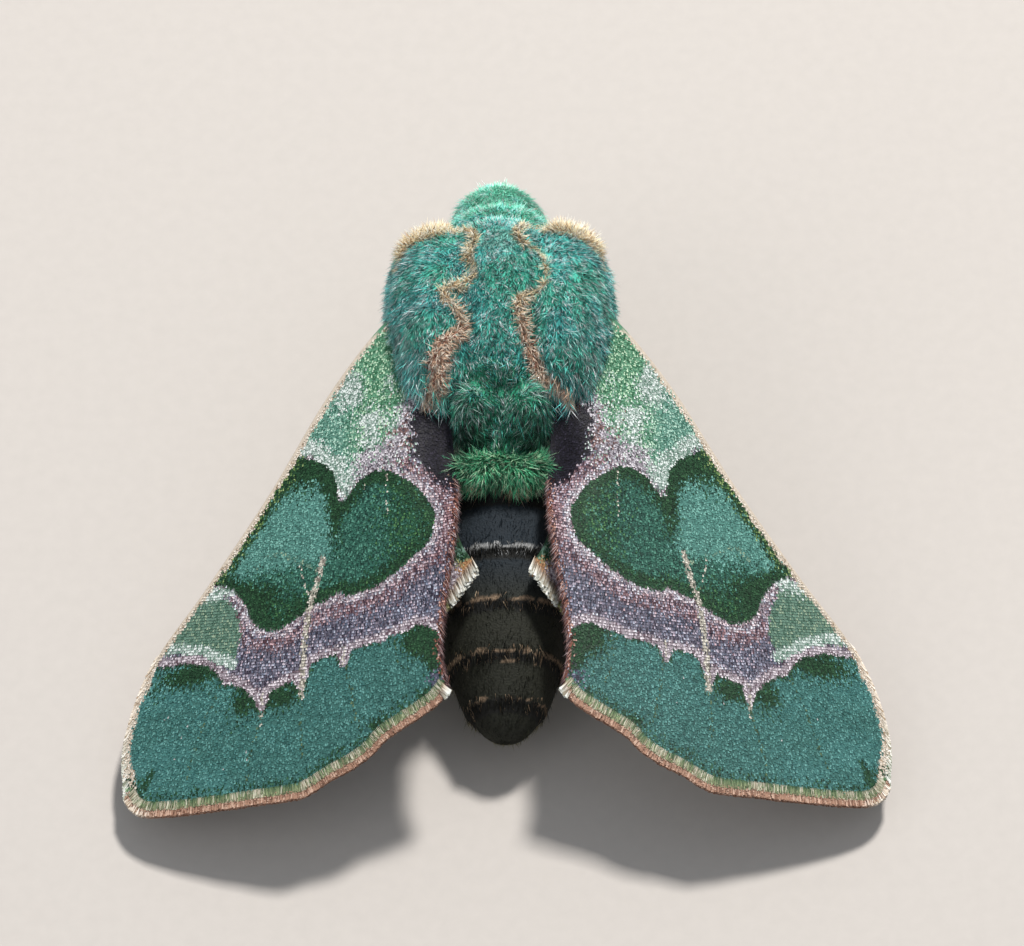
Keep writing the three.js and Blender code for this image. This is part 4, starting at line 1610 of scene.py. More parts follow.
    def build(self) -> None:
        """Makes skin and coats."""
        self.build_skin()
        self.build_coat("head", "green_coat", Part.HEAD, Part.PALP)
        self.build_coat("collar", "green_coat", Part.COLLAR)
        self.build_coat("thorax", "green_coat", Part.TRUNK, Part.NAPE)
        for side_name, side in SIDES.items():
            self.build_coat(f"tegula_{side_name}", "green_coat", Part.SHOULDER, side=side)
        cords = CoatFinish("stripe_finish").make()
        settle(Coat(StrandKind.HAIR).build("stripe_cords", self.stripe_hair(), cords), "green_coat")
        self.build_coat("crest", "crest_coat", Part.CREST)
        self.build_coat("abdomen", "dark_coat", Part.ABDOMEN)


# ---- wings ----


def edge(points: Points) -> Route:
    """A smooth edge line through a few points."""
    return Route(curve_through(points, 12))


@dataclass(frozen=True)
class Roof:
    """The surface that the folded wings lie in."""

    ridge: float = 10.32
    side_slope: float = 0.329
    tail_slope: float = 0.184
    bow: float = 0.45
    bow_start: tuple[float, float] = (4.0, 1.2)
    bow_run: tuple[float, float] = (-0.854, 0.521)
    bow_length: float = 10.4
    tuck_place: tuple[float, float] = (1.8, -5.8)
    tuck_depth: float = 1.3
    tuck_radii: tuple[float, float] = (1.5, 2.3)

    def height(self, plan: Array) -> Array:
        """Height over places in plan."""
        x, y = np.abs(plan[:, 0]), plan[:, 1]
        (start_x, start_y), (run_x, run_y) = self.bow_start, self.bow_run
        share = ((x - start_x) * run_x - (y - start_y) * run_y) / self.bow_length
        tuck = self.tuck_depth * blob(np.column_stack([x, y]), self.tuck_place, self.tuck_radii)
        bow = 4 * self.bow * share * (1 - share)
        return self.ridge - self.side_slope * x + self.tail_slope * y + bow - tuck

    def up(self, plan: Array) -> Array:
        """Outward directions of the upper face."""
        step = 0.05
        slope = [
            (self.height(plan + move) - self.height(plan - move)) / (2 * step)
            for move in np.eye(2) * step
        ]
        return unit(np.stack([-slope[0], -slope[1], np.ones(len(plan))], -1))


@dataclass(frozen=True)
class WingShape:
    """Outline of one wing, right side, in plan, and its place under the roof."""

    name: str
    lead: Points
    outer: Points
    inner: Points
    drop: float
    grid: tuple[int, int]
    roof: Roof = Roof()
    half_thickness: float = 0.275
    coat: float = 0.09
    membrane: float = 0.22

    def sheet(self, u: Array, v: Array) -> Array:
        """Places in plan of a sheet between the edges.

        Args:
            u: shares from the root to the outer edge.
            v: shares from the front to the inner edge.

        Returns:
            Rows of x and y.
        """
        lead, outer, inner = edge(self.lead), edge(self.outer), edge(self.inner)
        edges = between(lead.share(u), inner.share(u), v)
        root = between(lead.share(0 * v), inner.share(0 * v), v)
        tip = between(lead.share(0 * v + 1), inner.share(0 * v + 1), v)
        return edges + between(root, outer.share(v), u) - between(root, tip, u)

    def outline(self) -> Array:
        """The closed outline in plan."""
        lead, outer, inner = edge(self.lead).line, edge(self.outer).line, edge(self.inner).line
        return np.vstack([lead, outer[1:], inner[::-1][1:]])

    def edges(self, plan: Array) -> WingEdges:
        """Distances to the edges."""
        lines = (self.lead, self.outer, self.inner)
        return WingEdges(*(nearest(edge(line).line, plan)[0] for line in lines))

    def top(self, plan: Array) -> Array:
        """Height of the membrane's upper face."""
        return self.roof.height(plan) - self.drop + self.half_thickness - self.coat


FOREWING = WingShape(
    "forewing",
    lead=(
        (3.3, 1.2), (5.1, 0.4), (7.5, -2.25), (10.15, -6.25),
        (12.95, -9.95), (15.3, -12.9), (16.5, -16.2), (16.5, -18.9),
    ),
    outer=(
        (16.5, -18.9), (16.2, -19.45), (15.5, -19.9), (14.2, -20.13), (12.5, -20.27), (10.5, -20.33),
        (8.9, -20.33), (8.2, -20.12), (7.36, -19.7), (6.4, -19.3), (5.6, -18.8), (5.05, -18.25),
        (4.3, -17.85), (3.37, -17.35), (2.82, -17.0), (2.4, -16.5),
    ),
    inner=((2.3, -3.4), (1.95, -6.6), (1.92, -9.2), (2.5, -13.1), (2.65, -14.9), (2.4, -16.5)),
    drop=0.0,
    grid=(110, 96),
)
HINDWING = WingShape(
    "hindwing",
    lead=((3.6, -0.6), (6.1, -4.0), (8.9, -8.6), (10.9, -12.6)),
    outer=(
        (10.9, -12.6), (10.3, -14.5), (7.7, -15.6), (4.6, -14.7), (2.55, -12.85),
        (1.8, -11.95), (1.2, -11.25),
    ),
    inner=((2.6, -3.4), (2.5, -6.6), (1.85, -9.5), (1.3, -10.6), (1.2, -11.25)),
    drop=0.95,
    grid=(60, 40),
)


class Face(Enum):
    """The two faces of a wing."""

    UPPER = 1
    UNDER = -1


@dataclass(frozen=True)
class ScaleRows:
    """How the flat scales of one wing face are laid."""

    pitch: float
    spacing: float
    length: float
    width: float
    lift: float = 8.0


FORE_ROWS = ScaleRows(0.13, 0.048, 0.185, 0.085, 11.0)
HIND_ROWS = ScaleRows(0.15, 0.11, 0.3, 0.15)
CORNER_ROWS = ScaleRows(0.11, 0.05, 0.17, 0.08, 11.0)
UNDER_ROWS = ScaleRows(0.176, 0.114, 0.34, 0.166)


class Wing:
    """One wing: a membrane, the scales on its faces and the fringe on its edge."""

    hub = np.array([5.5, 26.0])  # the scales point away from this far place in plan
    inset: float = 0.12  # least distance of a scale's root to the outline
    sheet_rim: float = 0.008  # share of the sheet that the membrane stops short of its edges
    corner_reach: float = 2.4

    fore_under = Palette((116, 128, 98), (160, 166, 130), (82, 96, 74))
    fore_rosy = Palette((158, 112, 92), (196, 152, 130), (112, 78, 66))
    fore_band = Palette((140, 140, 120), (186, 184, 160), (100, 102, 84))
    hind_ground = Palette((150, 150, 104), (190, 186, 138), (112, 116, 78))
    hind_dark = Palette((62, 60, 46), (92, 88, 66), (36, 36, 30))
    hind_rust = Palette((186, 140, 98), (222, 190, 150), (140, 96, 62))

    def __init__(self, shape: WingShape, side_name: str, rng: Rng) -> None:
        """Keeps the wing's shape and side."""
        self.shape = shape
        self.side_name = side_name
        self.side = SIDES[side_name]
        self.rng = rng

    def place(self, plan: Array, height: Array | float) -> Array:
        """Places of the right side in plan as places or directions on this side."""
        return np.column_stack([self.side * plan[:, 0], plan[:, 1], height])

    def along(self, away: Array, up: Array) -> Array:
        """Directions in plan laid along the wing's surface."""
        lean = self.place(away, np.zeros(len(away)))
        return unit(lean - up * (lean * up).sum(1, keepdims=True))

    def colours(self, plan: Array, face: Face, rng: Rng | None) -> Array:
        """Colours of places on one face."""
        edges = self.shape.edges(plan)
        if self.shape is FOREWING and face is Face.UPPER:
            return WingMarkings(plan, edges, rng).painted()
        brush = Brush(len(plan), rng)
        roll = brush.dice()
        if self.shape is FOREWING:
            brush.tone = self.fore_under.pick(brush.luck)
            brush.lay(ramp(-3.0, -8.5, plan[:, 1]) * 0.6, self.fore_rosy, roll)
            brush.lay(ramp(2.4, 1.2, edges.outer) * 0.8, self.fore_band, roll)
            return brush.tone
        brush.tone = self.hind_ground.pick(brush.luck)
        dark = ramp(3.2, 2.6, edges.outer) * ramp(0.9, 1.4, edges.outer)
        brush.lay(dark, self.hind_dark, roll)
        brush.lay(blob(plan, (2.2, -11.4), (1.0, 0.8)) * 1.6, WingMarkings.lilac_pale, roll)
        corner = blob(plan, (1.8, -10.15), (0.7, 0.45)) * 1.8
        brush.lay(corner, WingMarkings.deep_green, roll)
        brush.lay(corner * 0.3, WingMarkings.costal_green)
        brush.lay(blob(plan, (1.5, -10.9), (0.35, 0.3)) * 1.4, self.hind_rust, roll)
        return brush.tone

    def build_membrane(self) -> None:
        """Makes the thin plate that carries the scales."""
        shape = self.shape
        bm = bmesh.new()
        bmesh.ops.create_grid(bm, x_segments=shape.grid[0], y_segments=shape.grid[1], size=0.5)
        share = np.array([vertex.co[:2] for vertex in bm.verts]) + 0.5
        share = np.clip(share, self.sheet_rim, 1 - self.sheet_rim)
        plan = shape.sheet(share[:, 0], share[:, 1])
        move_vertices(bm.verts, self.place(plan, shape.top(plan)))
        bmesh.ops.recalc_face_normals(bm, faces=bm.faces)
        if sum(face.normal.z for face in bm.faces) < 0:
            bmesh.ops.reverse_faces(bm, faces=bm.faces)
        bmesh.ops.solidify(bm, geom=bm.faces[:], thickness=shape.membrane)
        piece = bmesh_object(f"{shape.name}_skin_{self.side_name}", bm)
        mesh = piece.data
        places = own_places(mesh)
        plan = np.column_stack([places[:, 0] * self.side, places[:, 1]])
        upper = places[:, 2] > shape.top(plan) - shape.membrane / 2
        tones = self.colours(plan, Face.UPPER, None)
        tones[~upper] = self.colours(plan[~upper], Face.UNDER, None)
        paint_vertices(mesh, tones)
        finish = SkinFinish(f"{shape.name}_membrane", darkness=0.7, nap=0.12, relief=0.02)
        mesh.materials.append(finish.make())
        settle(piece, f"{shape.name}_scales", f"{shape.name}_{self.side_name}")

    def scale_places(self, rows: ScaleRows) -> Array:
        """Plan places of scale roots, in staggered rows inside the outline.

        Args:
            rows: the spacing of the rows.

        Returns:
            Plan places of the right side.
        """
        outline = self.shape.outline()
        away = outline - self.hub
        reach, angle = np.linalg.norm(away, axis=1), np.arctan2(away[:, 1], away[:, 0])
        radius = np.arange(reach.min() - 1, reach.max() + 1, rows.pitch)
        step = rows.spacing / reach.mean()
        turn = np.arange(angle.min(), angle.max(), step)
        turn, radius = np.meshgrid(turn, radius)
        turn[::2] += step / 2
        turn = turn + self.rng.normal(0, step * 0.25, turn.shape)
        plan = np.stack([radius * np.cos(turn), radius * np.sin(turn)], -1).reshape(-1, 2) + self.hub
        loose = rows.pitch * self.row_looseness(plan)
        plan += unit(plan - self.hub) * (self.rng.normal(0, 1, len(plan)) * loose)[:, None]
        plan[:, 1] += 0.05 * SoftNoise(1.2, 61).at(plan)
        tips = plan + unit(plan - self.hub) * rows.length
        inside = depth_in(outline, plan) > self.inset
        plan = plan[inside & (depth_in(outline, tips) > self.inset / 4)]
        return plan[~self.covered(plan)]

    def row_looseness(self, plan: Array) -> Array:
        """How far scales stray from their rows: little in the forewing's lilac band."""
        if self.shape is not FOREWING:
            return np.full(len(plan), 0.3)
        zones = (WingMarkings.lobes, WingMarkings.terminal)
        marked = np.maximum(*(depth_in(zone, plan) for zone in zones))
        return 0.4 - 0.33 * ramp(0.1, -0.15, marked) * ramp(-5.5, -7.0, plan[:, 1])

    def covered(self, plan: Array) -> Array:
        """True where the body hides the wing."""
        places = self.place(plan, self.shape.top(plan))
        hidden = np.zeros(len(plan), bool)
        for part in (Part.TRUNK, Part.SHOULDER, Part.NAPE, Part.CREST, Part.ABDOMEN):
            form = FORMS[part]
            for side in sides_of(form):
                hidden |= form.value(places, side, -form.coat) < 1
        return hidden

    def scales(self, face: Face, rows: ScaleRows) -> Strands:
        """Lays the scales of one face.

        Args:
            face: the face.
            rows: how they are laid.

        Returns:
            The scales.
        """
        shape, rng = self.shape, self.rng
        plan = self.scale_places(rows)
        count = len(plan)
        up = shape.roof.up(plan) * [self.side, 1, 1] * face.value
        height = shape.top(plan) - (shape.membrane if face is Face.UNDER else 0)
        away = unit(plan - self.hub)
        lean = turned(self.along(away, up), up, rng.normal(0, 0.12, count))
        length = rows.length * rng.uniform(0.9, 1.1, count)
        tone = self.colours(plan + away * (length * 0.6)[:, None], face, rng)
        # Darker scale roots are painted shade where each row lies over the next, darkest in the rosy
        # zones so the rows show.
        rosy = ramp(0.9, 1.05, tone[:, :1] / np.maximum(tone[:, 1:2], 1e-4))
        return Strands(
            root=self.place(plan, height) - up * 0.01,
            lean=lean,
            up=up,
            length=length,
            width=rows.width * rng.uniform(0.8, 1.2, count),
            lift=np.radians(rows.lift + rng.normal(0, 2, count)),
            fall=np.radians(np.full(count, 4.0)),
            root_tint=tone * (0.5 - 0.48 * rosy),
            tip_tint=tone,
            patch=plan,
        )

    def upper_scales(self) -> Strands:
        """The scales that show; finer where the hindwing's inner corner lies bare."""
        if self.shape is FOREWING:
            return self.scales(Face.UPPER, FORE_ROWS)
        coarse, fine = (self.scales(Face.UPPER, rows) for rows in (HIND_ROWS, CORNER_ROWS))
        outside, inside = ~self.at_corner(coarse.patch), self.at_corner(fine.patch)
        return joined((coarse.kept(outside), fine.kept(inside)))

    def at_corner(self, plan: Array) -> Array:
        """True near the inner corner, where the hindwing shows beside the forewing."""
        return np.linalg.norm(plan - self.shape.inner[-1], axis=1) < self.corner_reach

    def fringe(self, line: Array, style: "Fringe") -> Strands:
        """Long narrow scales along an edge.

        Args:
            line: places along the edge in plan.
            style: what the fringe is like.

        Returns:
            The fringe.
        """
        shape, rng, route = self.shape, self.rng, Route(line)
        whole = route.run[-1]
        count = int(whole * style.per_length)
        where = np.sort(rng.uniform(0, whole, count))
        rim, ahead, behind = (route.at(where + step) for step in (0, 0.15, -0.15))
        tangent = unit(ahead - behind)
        away = np.stack([tangent[:, 1], -tangent[:, 0]], -1) * style.out
        stray = rng.normal(0, style.tangle, (count, 2))
        away = unit(away + style.sweep * unit(rim - self.hub) + stray)
        length = style.reach * rng.uniform(1 - style.uneven, 1.0, count)
        length *= 1 + 0.06 * SoftNoise(0.55, 51).at(rim)
        layer = rng.random(count)
        plan = rim - away * style.start
        up = shape.roof.up(plan) * [self.side, 1, 1]
        root_tint, tip_tint = style.tones(where, whole, rng)
        return Strands(
            root=self.place(plan, shape.top(plan) + style.level - layer * style.depth),
            lean=self.along(away, up),
            up=up,
            length=length,
            width=style.width * rng.uniform(0.8, 1.3, count),
            lift=np.radians(style.lift + rng.normal(0, 1.5, count)),
            fall=np.radians(style.fall + rng.normal(0, 2, count)),
            root_tint=root_tint,
            tip_tint=tip_tint,
            patch=np.column_stack([where / whole, 0.05 + layer * 0.25]),
        )

    def build(self) -> None:
        """Makes membrane, scales and fringes."""
        self.build_membrane()
        shape = self.shape
        finish = CoatFinish(
            f"{shape.name}_scale", roughness=0.55, shine=0.15, grain=0.2, uneven=0.25, brightness=0.93
        ).make()
        flat, hair = Coat(StrandKind.SCALE, flatness=0.25), Coat(StrandKind.HAIR)

        def finished(coat: Coat, layer: str, strands: Strands) -> None:
            """Makes one coat of the wing."""
            piece = coat.build(f"{shape.name}_{layer}_{self.side_name}", strands, finish)
            settle(piece, f"{shape.name}_scales")

        finished(flat, "scales", self.upper_scales())
        finished(flat, "underside", self.scales(Face.UNDER, UNDER_ROWS))
        outer, inner = edge(shape.outer).line, edge(shape.inner).line
        stretches = [(outer[-22:], FAN_FRINGE), (inner[-9:-3], FAN_SIDE)]
        if shape is FOREWING:
            apex = edge(shape.lead).line[-26:]
            stretches = [(outer, TAN_FRINGE), (outer, TICKED_FRINGE), (apex, APEX_FRINGE)]
            stretches.append((outer[-9:], TORNUS_FRINGE))
        strands = joined(self.fringe(line, style) for line, style in stretches)
        if shape is FOREWING:
            finished(hair, "margin", self.fringe(inner[14:], MARGIN_HAIR))
        finished(flat, "fringe", strands)


@dataclass(frozen=True)
class Fringe:
    """What the scales along a stretch of edge are like."""

    tones: Callable[[Array, float, Rng], tuple[Array, Array]]
    reach: float
    start: float
    per_length: float
    width: float
    level: float = 0.02
    depth: float = 0.2
    sweep: float = 0.3
    tangle: float = 0.05
    lift: float = 2.0
    fall: float = 4.0
    uneven: float = 0.14
    out: int = -1  # 1 where outwards is to the right of the line's direction


def tan_tones(where: Array, whole: float, rng: Rng) -> tuple[Array, Array]:
    """Tan, turning cream at the wing's apex."""
    near_apex = ramp(1.9, 0.9, where)
    tips = blend(WingMarkings.tan, WingMarkings.cream, near_apex, rng.random(len(where)))
    return tips * 0.9, tips


def apex_tones(where: Array, whole: float, rng: Rng) -> tuple[Array, Array]:
    """Cream, whiter towards the wing's apex."""
    near_apex = ramp(0.4 * whole, 0.9 * whole, where) * 0.6
    tips = blend(WingMarkings.cream, WingMarkings.whitish, near_apex, rng.random(len(where)))
    return tips * 0.85, tips


def ticked_tones(where: Array, whole: float, rng: Rng) -> tuple[Array, Array]:
    """Olive green with cream ticks, which crowd at the wing's apex."""
    count = len(where)
    luck = rng.random(count)
    line = np.column_stack([where, 0 * where])
    ticks = 0.2 + 0.45 * SoftNoise(0.2, 71).at(line) + 0.4 * SoftNoise(0.9, 73).at(line)
    ticks = np.where(rng.random(count) < np.maximum(ticks, ramp(1.6, 0.6, where) * 0.7), 1.0, 0.0)
    olive, cream = WingMarkings.olive_edge.pick(luck), WingMarkings.cream.pick(luck)
    tips = between(olive, WingMarkings.tan.pick(luck), 0.3)
    return between(olive * 0.7, cream, ticks * 0.8), between(tips, cream, ticks * 0.35)


def corner_tones(where: Array, whole: float, rng: Rng) -> tuple[Array, Array]:
    """White tips over rusty roots."""
    luck = rng.random(len(where))
    white = Palette((184, 186, 176), (232, 234, 228), (146, 138, 120), 0.3, 0.26)
    rusty = Palette((150, 116, 92), (200, 176, 146), (90, 66, 50), 0.25, 0.3)
    return rusty.pick(luck), white.pick(luck)


def margin_tones(where: Array, whole: float, rng: Rng) -> tuple[Array, Array]:
    """Reddish brown hair with rosy tips."""
    luck = rng.random(len(where))
    rosy = rng.random(len(where)) * 0.8
    reddish = WingMarkings.reddish
    return reddish.pick(luck) * 0.6, blend(reddish, WingMarkings.lilac_pale, rosy, luck)


TAN_FRINGE = Fringe(tan_tones, 0.5, 0.46, 260, 0.08)
TICKED_FRINGE = Fringe(
    ticked_tones, 0.44, 0.66, 300, 0.042,
    level=0.04, depth=0.03, tangle=0.1, lift=1.0, fall=5.0, uneven=0.45,
)
APEX_FRINGE = Fringe(apex_tones, 0.5, 0.45, 220, 0.08, sweep=1.4)
TORNUS_FRINGE = Fringe(corner_tones, 0.62, 0.42, 90, 0.12, level=0.08, depth=0.12, tangle=0.2)
FAN_FRINGE = Fringe(
    corner_tones, 0.8, 0.62, 115, 0.1, level=0.1, sweep=2.2, tangle=0.2, lift=6.0, uneven=0.4
)
FAN_SIDE = Fringe(
    corner_tones, 0.8, 0.4, 105, 0.09,
    level=0.08, sweep=4.0, tangle=0.2, lift=5.0, uneven=0.4, out=1,
)
MARGIN_HAIR = Fringe(
    margin_tones, 0.7, 0.36, 60, 0.035,
    level=0.05, depth=0.3, sweep=1.8, tangle=0.4, lift=10, fall=14, uneven=0.5, out=1,
)


# ---- head parts ----


def tube(route: Points, radius: Callable[[Array], Array], sides: int, steps: int) -> BMesh:
    """A closed tube along a smooth route.

    Args:
        route: places that the middle line passes through.
        radius: gives the radius at shares of the length.
        sides: faces around.
        steps: faces along.

    Returns:
        The tube as a new bmesh.
    """
    bm = bmesh.new()
    bmesh.ops.create_cone(bm, cap_ends=True, segments=sides, radius1=1, radius2=1, depth=1)
    for step in range(1, steps):
        cut_across(bm, step / steps - 0.5)
    corners = np.array([vertex.co[:] for vertex in bm.verts])
    share = np.clip(corners[:, 2] + 0.5, 0, 1)
    spot, _, across, above = Route(curve_through(route, 24)).axes(share, 0.01)
    size = radius(share)[:, None]
    places = spot + size * (across * corners[:, :1] + above * corners[:, 1:2])
    places[:, 2] = np.maximum(places[:, 2], 0)
    move_vertices(bm.verts, places)
    return bm


def add_bmesh(target: BMesh, extra: BMesh) -> None:
    """Moves the faces of one bmesh into another."""
    holder = bpy.data.meshes.new("joined_part")
    extra.to_mesh(holder)
    extra.free()
    target.from_mesh(holder)
    bpy.data.meshes.remove(holder)


@dataclass(frozen=True)
class HeadParts:
    """Eyes, feelers and tongue."""

    feeler: Points = (
        (1.5, 7.15, 7.3), (2.1, 6.35, 6.3), (2.85, 5.6, 5.0), (3.8, 4.2, 3.95),
        (4.45, 2.2, 3.2), (4.8, 0.4, 3.15), (5.0, -1.2, 3.8), (5.2, -2.3, 4.7),
    )
    feeler_radius: float = 0.28
    feeler_rings: int = 58
    tongue_centre: tuple[float, float] = (8.15, 3.2)
    tongue_coil: float = 0.42
    tongue_turns: tuple[float, float] = (math.pi / 2, -1.05 * math.pi)
    tongue_radius: float = 0.2

    def build_eyes(self) -> None:
        """Two round compound eyes."""
        finish = EyeFinish().make()
        for name, side in SIDES.items():
            bm = bmesh.new()
            bmesh.ops.create_uvsphere(bm, u_segments=56, v_segments=36, radius=1)
            ball = np.array([vertex.co[:] for vertex in bm.verts])
            move_vertices(bm.verts, EYE.surface(ball, side, 0))
            piece = bmesh_object(f"compound_eye_{name}", bm)
            piece.data.materials.append(finish)
            settle(piece, "eye", f"eye_{name}")

    def feeler_size(self, share: Array) -> Array:
        """Radius of the feeler: ringed, thickest past its middle, and pointed."""
        club = 0.72 + 0.28 * np.sin(math.pi * np.clip(share, 0, 1) ** 1.4)
        tip = 1 - 0.8 * ramp(0.86, 1.0, share)
        rings = 1 - 0.1 * np.abs(np.cos(math.pi * share * self.feeler_rings)) ** 6
        return self.feeler_radius * club * tip * rings

    def build_feelers(self) -> None:
        """Two ringed feelers, tucked back under the wings."""
        finish = MottledFinish("feeler", (214, 200, 168), (128, 104, 78), size=0.1).make()
        for name, side in SIDES.items():
            route = [(side * x, y, z) for x, y, z in self.feeler]
            piece = bmesh_object(
                f"feeler_{name}", tube(route, self.feeler_size, 12, self.feeler_rings * 4)
            )
            piece.data.materials.append(finish)
            settle(piece, "horn", f"antenna_{name}")

    def build_tongue(self) -> None:
        """A short tongue coiled under the palps."""
        y, z = self.tongue_centre
        turns = np.linspace(*self.tongue_turns, 14)
        coil = self.tongue_coil * np.linspace(1.0, 0.72, 14)
        route = [(0.0, y + c * math.cos(a), z + c * math.sin(a)) for a, c in zip(turns, coil)]
        bm = tube(route, lambda share: self.tongue_radius * (1 - 0.45 * share), 10, 60)
        piece = bmesh_object("tongue", bm)
        piece.data.materials.append(MottledFinish("tongue_horn", (150, 110, 70), (84, 56, 34)).make())
        settle(piece, "horn", "proboscis")

    def build(self) -> None:
        """Makes all parts of the head."""
        self.build_eyes()
        self.build_feelers()
        self.build_tongue()


# ---- legs ----


@dataclass(frozen=True)
class LegLength:
    """What one length of a leg is like.

    Swell is the share of the radius that its ends lack, and bulge moves its thickest
    place. Scales is their number, and patch is where they start on the bake map.
    """

    name: str
    radius: float
    swell: float
    bulge: float
    steps: int
    scales: int
    scale_length: float
    patch: float

    def size(self, share: Array) -> Array:
        """Radius at shares of the length."""
        return self.radius * (1 - self.swell + self.swell * np.sin(math.pi * share**self.bulge))


@dataclass(frozen=True)
class FootLength(LegLength):
    """The foot: joints that each widen to their end, on a radius that shrinks by swell."""

    joints: int = 5

    def size(self, share: Array) -> Array:
        """Radius at shares of the length; the first joint is the longest."""
        along = np.clip(share, 0, 1) ** self.bulge * self.joints
        part = along - np.floor(np.minimum(along, self.joints - 1e-6))
        thickness = self.radius - self.swell * share
        return thickness * (0.82 + 0.28 * part**2) * (1 - 0.25 * ramp(0.93, 1.0, part))


THIGH = LegLength("femur", 0.44, 0.4, 0.8, 24, 420, 0.5, 0.0)
SHIN = LegLength("tibia", 0.31, 0.3, 0.6, 24, 380, 0.45, 0.35)
FOOT = FootLength("tarsus", 0.2, 0.05, 0.75, 60, 260, 0.25, 0.7)


@dataclass(frozen=True)
class Leg:
    """One leg: thigh, shin with spurs, and a jointed foot with two claws."""

    pair: str
    side_name: str
    hip: Place
    knee: Place
    ankle: Place
    toe: Place
    sole: float = 0.15
    scales = Palette((150, 146, 118), (204, 198, 172), (98, 96, 76))
    skin = (128, 120, 94)

    def on_side(self, place: Sequence[float]) -> Array:
        """A place of the right side on this side."""
        return np.array([SIDES[self.side_name] * place[0], place[1], place[2]])

    def on_foot(self, share: float, height: float) -> Array:
        """A place of this side between ankle and toe, at a height over the floor."""
        plan = np.array(self.ankle) * (1 - share) + np.array(self.toe) * share
        return self.on_side((*plan[:2], height))

    def coat_on(self, length: LegLength, route: list[Array]) -> Strands:
        """Flat scales round one length, pointing to the foot.

        Args:
            length: the length, whose full name seeds its own random values.
            route: places along the middle line.

        Returns:
            The scales.
        """
        name = f"{length.name}_{self.pair}_{self.side_name}"
        count = length.scales
        rng = np.random.default_rng(sum(map(ord, name)))
        share, turn = rng.uniform(0, 0.97, count), rng.uniform(0, 2 * math.pi, count)
        spot, lean, across, above = Route(curve_through(route, 16)).axes(share, 0.02)
        up = across * np.cos(turn)[:, None] + above * np.sin(turn)[:, None]
        tone = self.scales.pick(rng.random(count))
        return Strands(
            root=spot + up * (length.size(share) * 0.95)[:, None],
            lean=lean,
            up=up,
            length=length.scale_length * rng.uniform(0.75, 1.25, count),
            width=np.full(count, 0.09),
            lift=np.radians(rng.normal(13, 4, count)),
            fall=np.radians(rng.normal(8, 4, count)),
            root_tint=tone * 0.5,
            tip_tint=tone,
            patch=np.stack([turn / (2 * math.pi), share * 0.3 + length.patch], -1),
        )

    def build(self, skin: Material, scale: Material) -> None:
        """Makes the leg.

        Args:
            skin: the finish under the scales.
            scale: the finish of the scales.
        """
        hip, knee, ankle, toe = map(self.on_side, (self.hip, self.knee, self.ankle, self.toe))
        heel, ball = self.on_foot(0.3, self.sole + 0.12), self.on_foot(0.65, self.sole)
        end = self.on_side((*self.toe[:2], self.sole))
        tips = end - unit(end - ball) * 0.25
        routes = (
            (THIGH, [hip, (hip + knee) / 2, knee]),
            (SHIN, [knee, (knee + ankle) / 2, ankle]),
            (FOOT, [ankle * 0.94 + toe * 0.06, heel, ball, tips]),
        )
        for length, route in routes:
            bm = tube(route, length.size, 12, length.steps)
            if length is FOOT:
                self.add_claws(bm, ball, tips)
            if length is SHIN:
                self.add_spurs(bm, knee, ankle)
            piece = bmesh_object(f"{length.name}_skin_{self.pair}_{self.side_name}", bm)
            count = len(piece.data.vertices)
            paint_vertices(piece.data, np.broadcast_to(tint(*self.skin), (count, 3)))
            piece.data.materials.append(skin)
            settle(piece, "leg_scales", f"{length.name}_{self.pair}_{self.side_name}")
        strands = joined(self.coat_on(length, route) for length, route in routes)
        coat = Coat(StrandKind.HAIR, flatness=0.4)
        name = f"leg_coat_{self.pair}_{self.side_name}"
        settle(coat.build(name, strands, scale), "leg_scales")

    def add_claws(self, bm: BMesh, ball: Array, tips: Array) -> None:
        """Two curved claws at the end of the foot."""
        ahead = unit(tips - ball)
        side = unit(np.cross(ahead, (0, 0, 1)))
        for out in (-side, side):
            bend = tips + ahead * 0.14 + out * 0.13
            point = tips + ahead * 0.26 + out * 0.15 - (0, 0, 0.1)
            route = [tips + out * 0.05, bend, point]
            add_bmesh(bm, tube(route, lambda share: 0.05 * (1 - 0.85 * share), 8, 8))

    def add_spurs(self, bm: BMesh, knee: Array, ankle: Array) -> None:
        """A pair of spurs near the end of the shin."""
        down = unit(ankle - knee)
        side = unit(np.cross(down, (0, 0, 1)))
        base = ankle - down * 0.35
        for out in (-side, side):
            route = [base, base + out * 0.22 + down * 0.15, base + out * 0.32 + down * 0.45]
            add_bmesh(bm, tube(route, lambda share: 0.07 * (1 - 0.8 * share), 8, 8))


LEG_PLACES = {
    "fore": ((1.3, 4.0, 3.5), (3.1, 6.2, 3.5), (3.3, 7.0, 1.1), (3.6, 9.3, 0)),
    "mid": ((1.5, 1.0, 3.0), (4.7, 2.2, 2.9), (6.0, 1.5, 1.0), (8.0, 0.5, 0)),
    "hind": ((1.5, -2.0, 3.4), (4.4, -3.6, 3.6), (5.3, -6.0, 1.1), (6.3, -8.6, 0)),
}


def build_legs() -> None:
    """Makes all six legs."""
    skin, scale = SkinFinish("leg_skin", darkness=0.7).make(), CoatFinish("leg_hair").make()
    for pair, places in LEG_PLACES.items():
        for side_name in SIDES:
            Leg(pair, side_name, *places).build(skin, scale)


# ---- stage ----


@dataclass(frozen=True)
class Lamp:
    """A square soft light: its place and side in metres, power in watts, and warmth to 1."""

    name: str
    place: Place
    size: float
    power: float
    warmth: float

    def build(self) -> None:
        """Puts the light up and aims it at the moth."""
        lamp = bpy.data.lights.new(self.name, "AREA")
        lamp.size, lamp.energy = self.size, self.power
        lamp.color = (1, 1 - 0.07 * self.warmth, 1 - 0.16 * self.warmth)
        holder = add_object(self.name, lamp)
        holder.location = self.place
        holder.rotation_euler = Vector(self.place).to_track_quat("Z", "Y").to_euler()


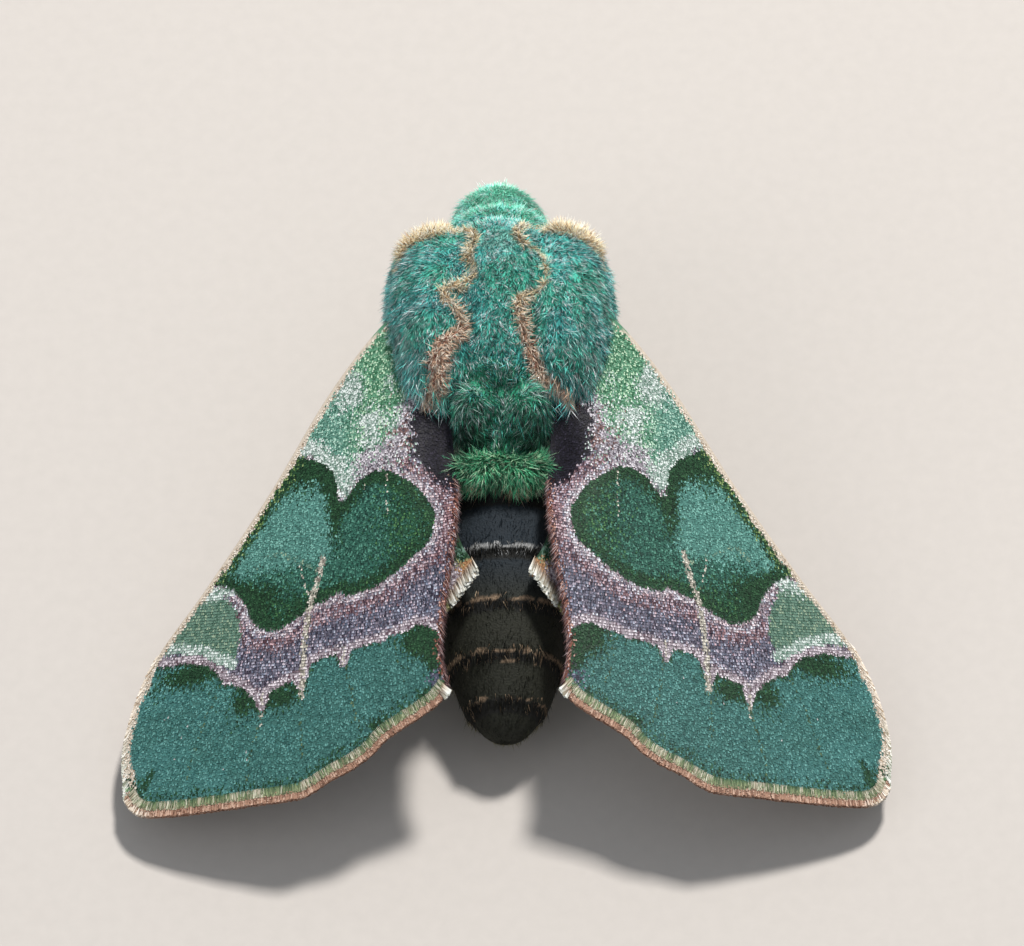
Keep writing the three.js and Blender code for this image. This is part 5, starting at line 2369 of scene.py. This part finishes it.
@dataclass(frozen=True)
class Studio:
    """Pale floor, soft lights and the camera."""

    target: Place = (0.42, -5.1, 5.2)
    elevation: float = 60.0
    distance: float = 300.0
    roll: float = -0.85
    lens: float = 242.58
    sensor: float = 36.0
    floor_size: float = 1.2
    lamps: tuple[Lamp, ...] = (
        Lamp("key_light", (0.12, 0.26, 0.5), 0.075, 4.5, 0.3),
        Lamp("side_light", (-0.45, -0.2, 0.35), 0.4, 0.6, 0.0),
    )
    sky: tuple[float, float, float, float] = (0.86, 0.92, 1.0, 1)
    sky_strength: float = 0.45

    def build_floor(self) -> None:
        """A large flat floor."""
        bm = bmesh.new()
        bmesh.ops.create_grid(bm, x_segments=4, y_segments=4, size=self.floor_size)
        mesh = bpy.data.meshes.new("studio_floor")
        bm.to_mesh(mesh)
        bm.free()
        mesh.materials.append(PAPER.make())
        add_object("studio_floor", mesh)

    def build_lights(self) -> None:
        """A high front light, a weak side light and an even sky."""
        for lamp in self.lamps:
            lamp.build()
        world = bpy.data.worlds.new("studio_sky")
        world.use_nodes = True
        sky = world.node_tree.nodes["Background"]
        sky.inputs["Color"].default_value = self.sky
        sky.inputs["Strength"].default_value = self.sky_strength
        bpy.context.scene.world = world
        bpy.context.scene.view_settings.view_transform = "Standard"

    def build_camera(self) -> None:
        """A long lens behind and above the moth."""
        tilt = math.radians(self.elevation)
        back = Vector((0, -math.cos(tilt), math.sin(tilt)))
        right, roll = Vector((1, 0, 0)), math.radians(self.roll)
        up = back.cross(right)
        across = math.cos(roll) * right + math.sin(roll) * up
        upward = math.cos(roll) * up - math.sin(roll) * right
        lens = bpy.data.cameras.new("camera")
        lens.lens, lens.sensor_width = self.lens, self.sensor
        lens.clip_start, lens.clip_end = 0.01, 10
        camera = add_object("camera", lens)
        aim = Vector(to_frame(np.array(self.target)))
        turn = Matrix((across, upward, back)).transposed().to_4x4()
        camera.matrix_world = Matrix.Translation(aim + back * self.distance * MM) @ turn
        bpy.context.scene.camera = camera

    def build(self) -> None:
        """Makes the stage."""
        self.build_floor()
        self.build_lights()
        self.build_camera()


def main() -> None:
    """Builds the stage and then the moth, part by part."""
    rng = np.random.default_rng(7)
    Studio().build()
    Body(rng).build()
    for shape in (FOREWING, HINDWING):
        for side_name in SIDES:
            Wing(shape, side_name, rng).build()
    HeadParts().build()
    build_legs()


if __name__ == "__main__":
    main()
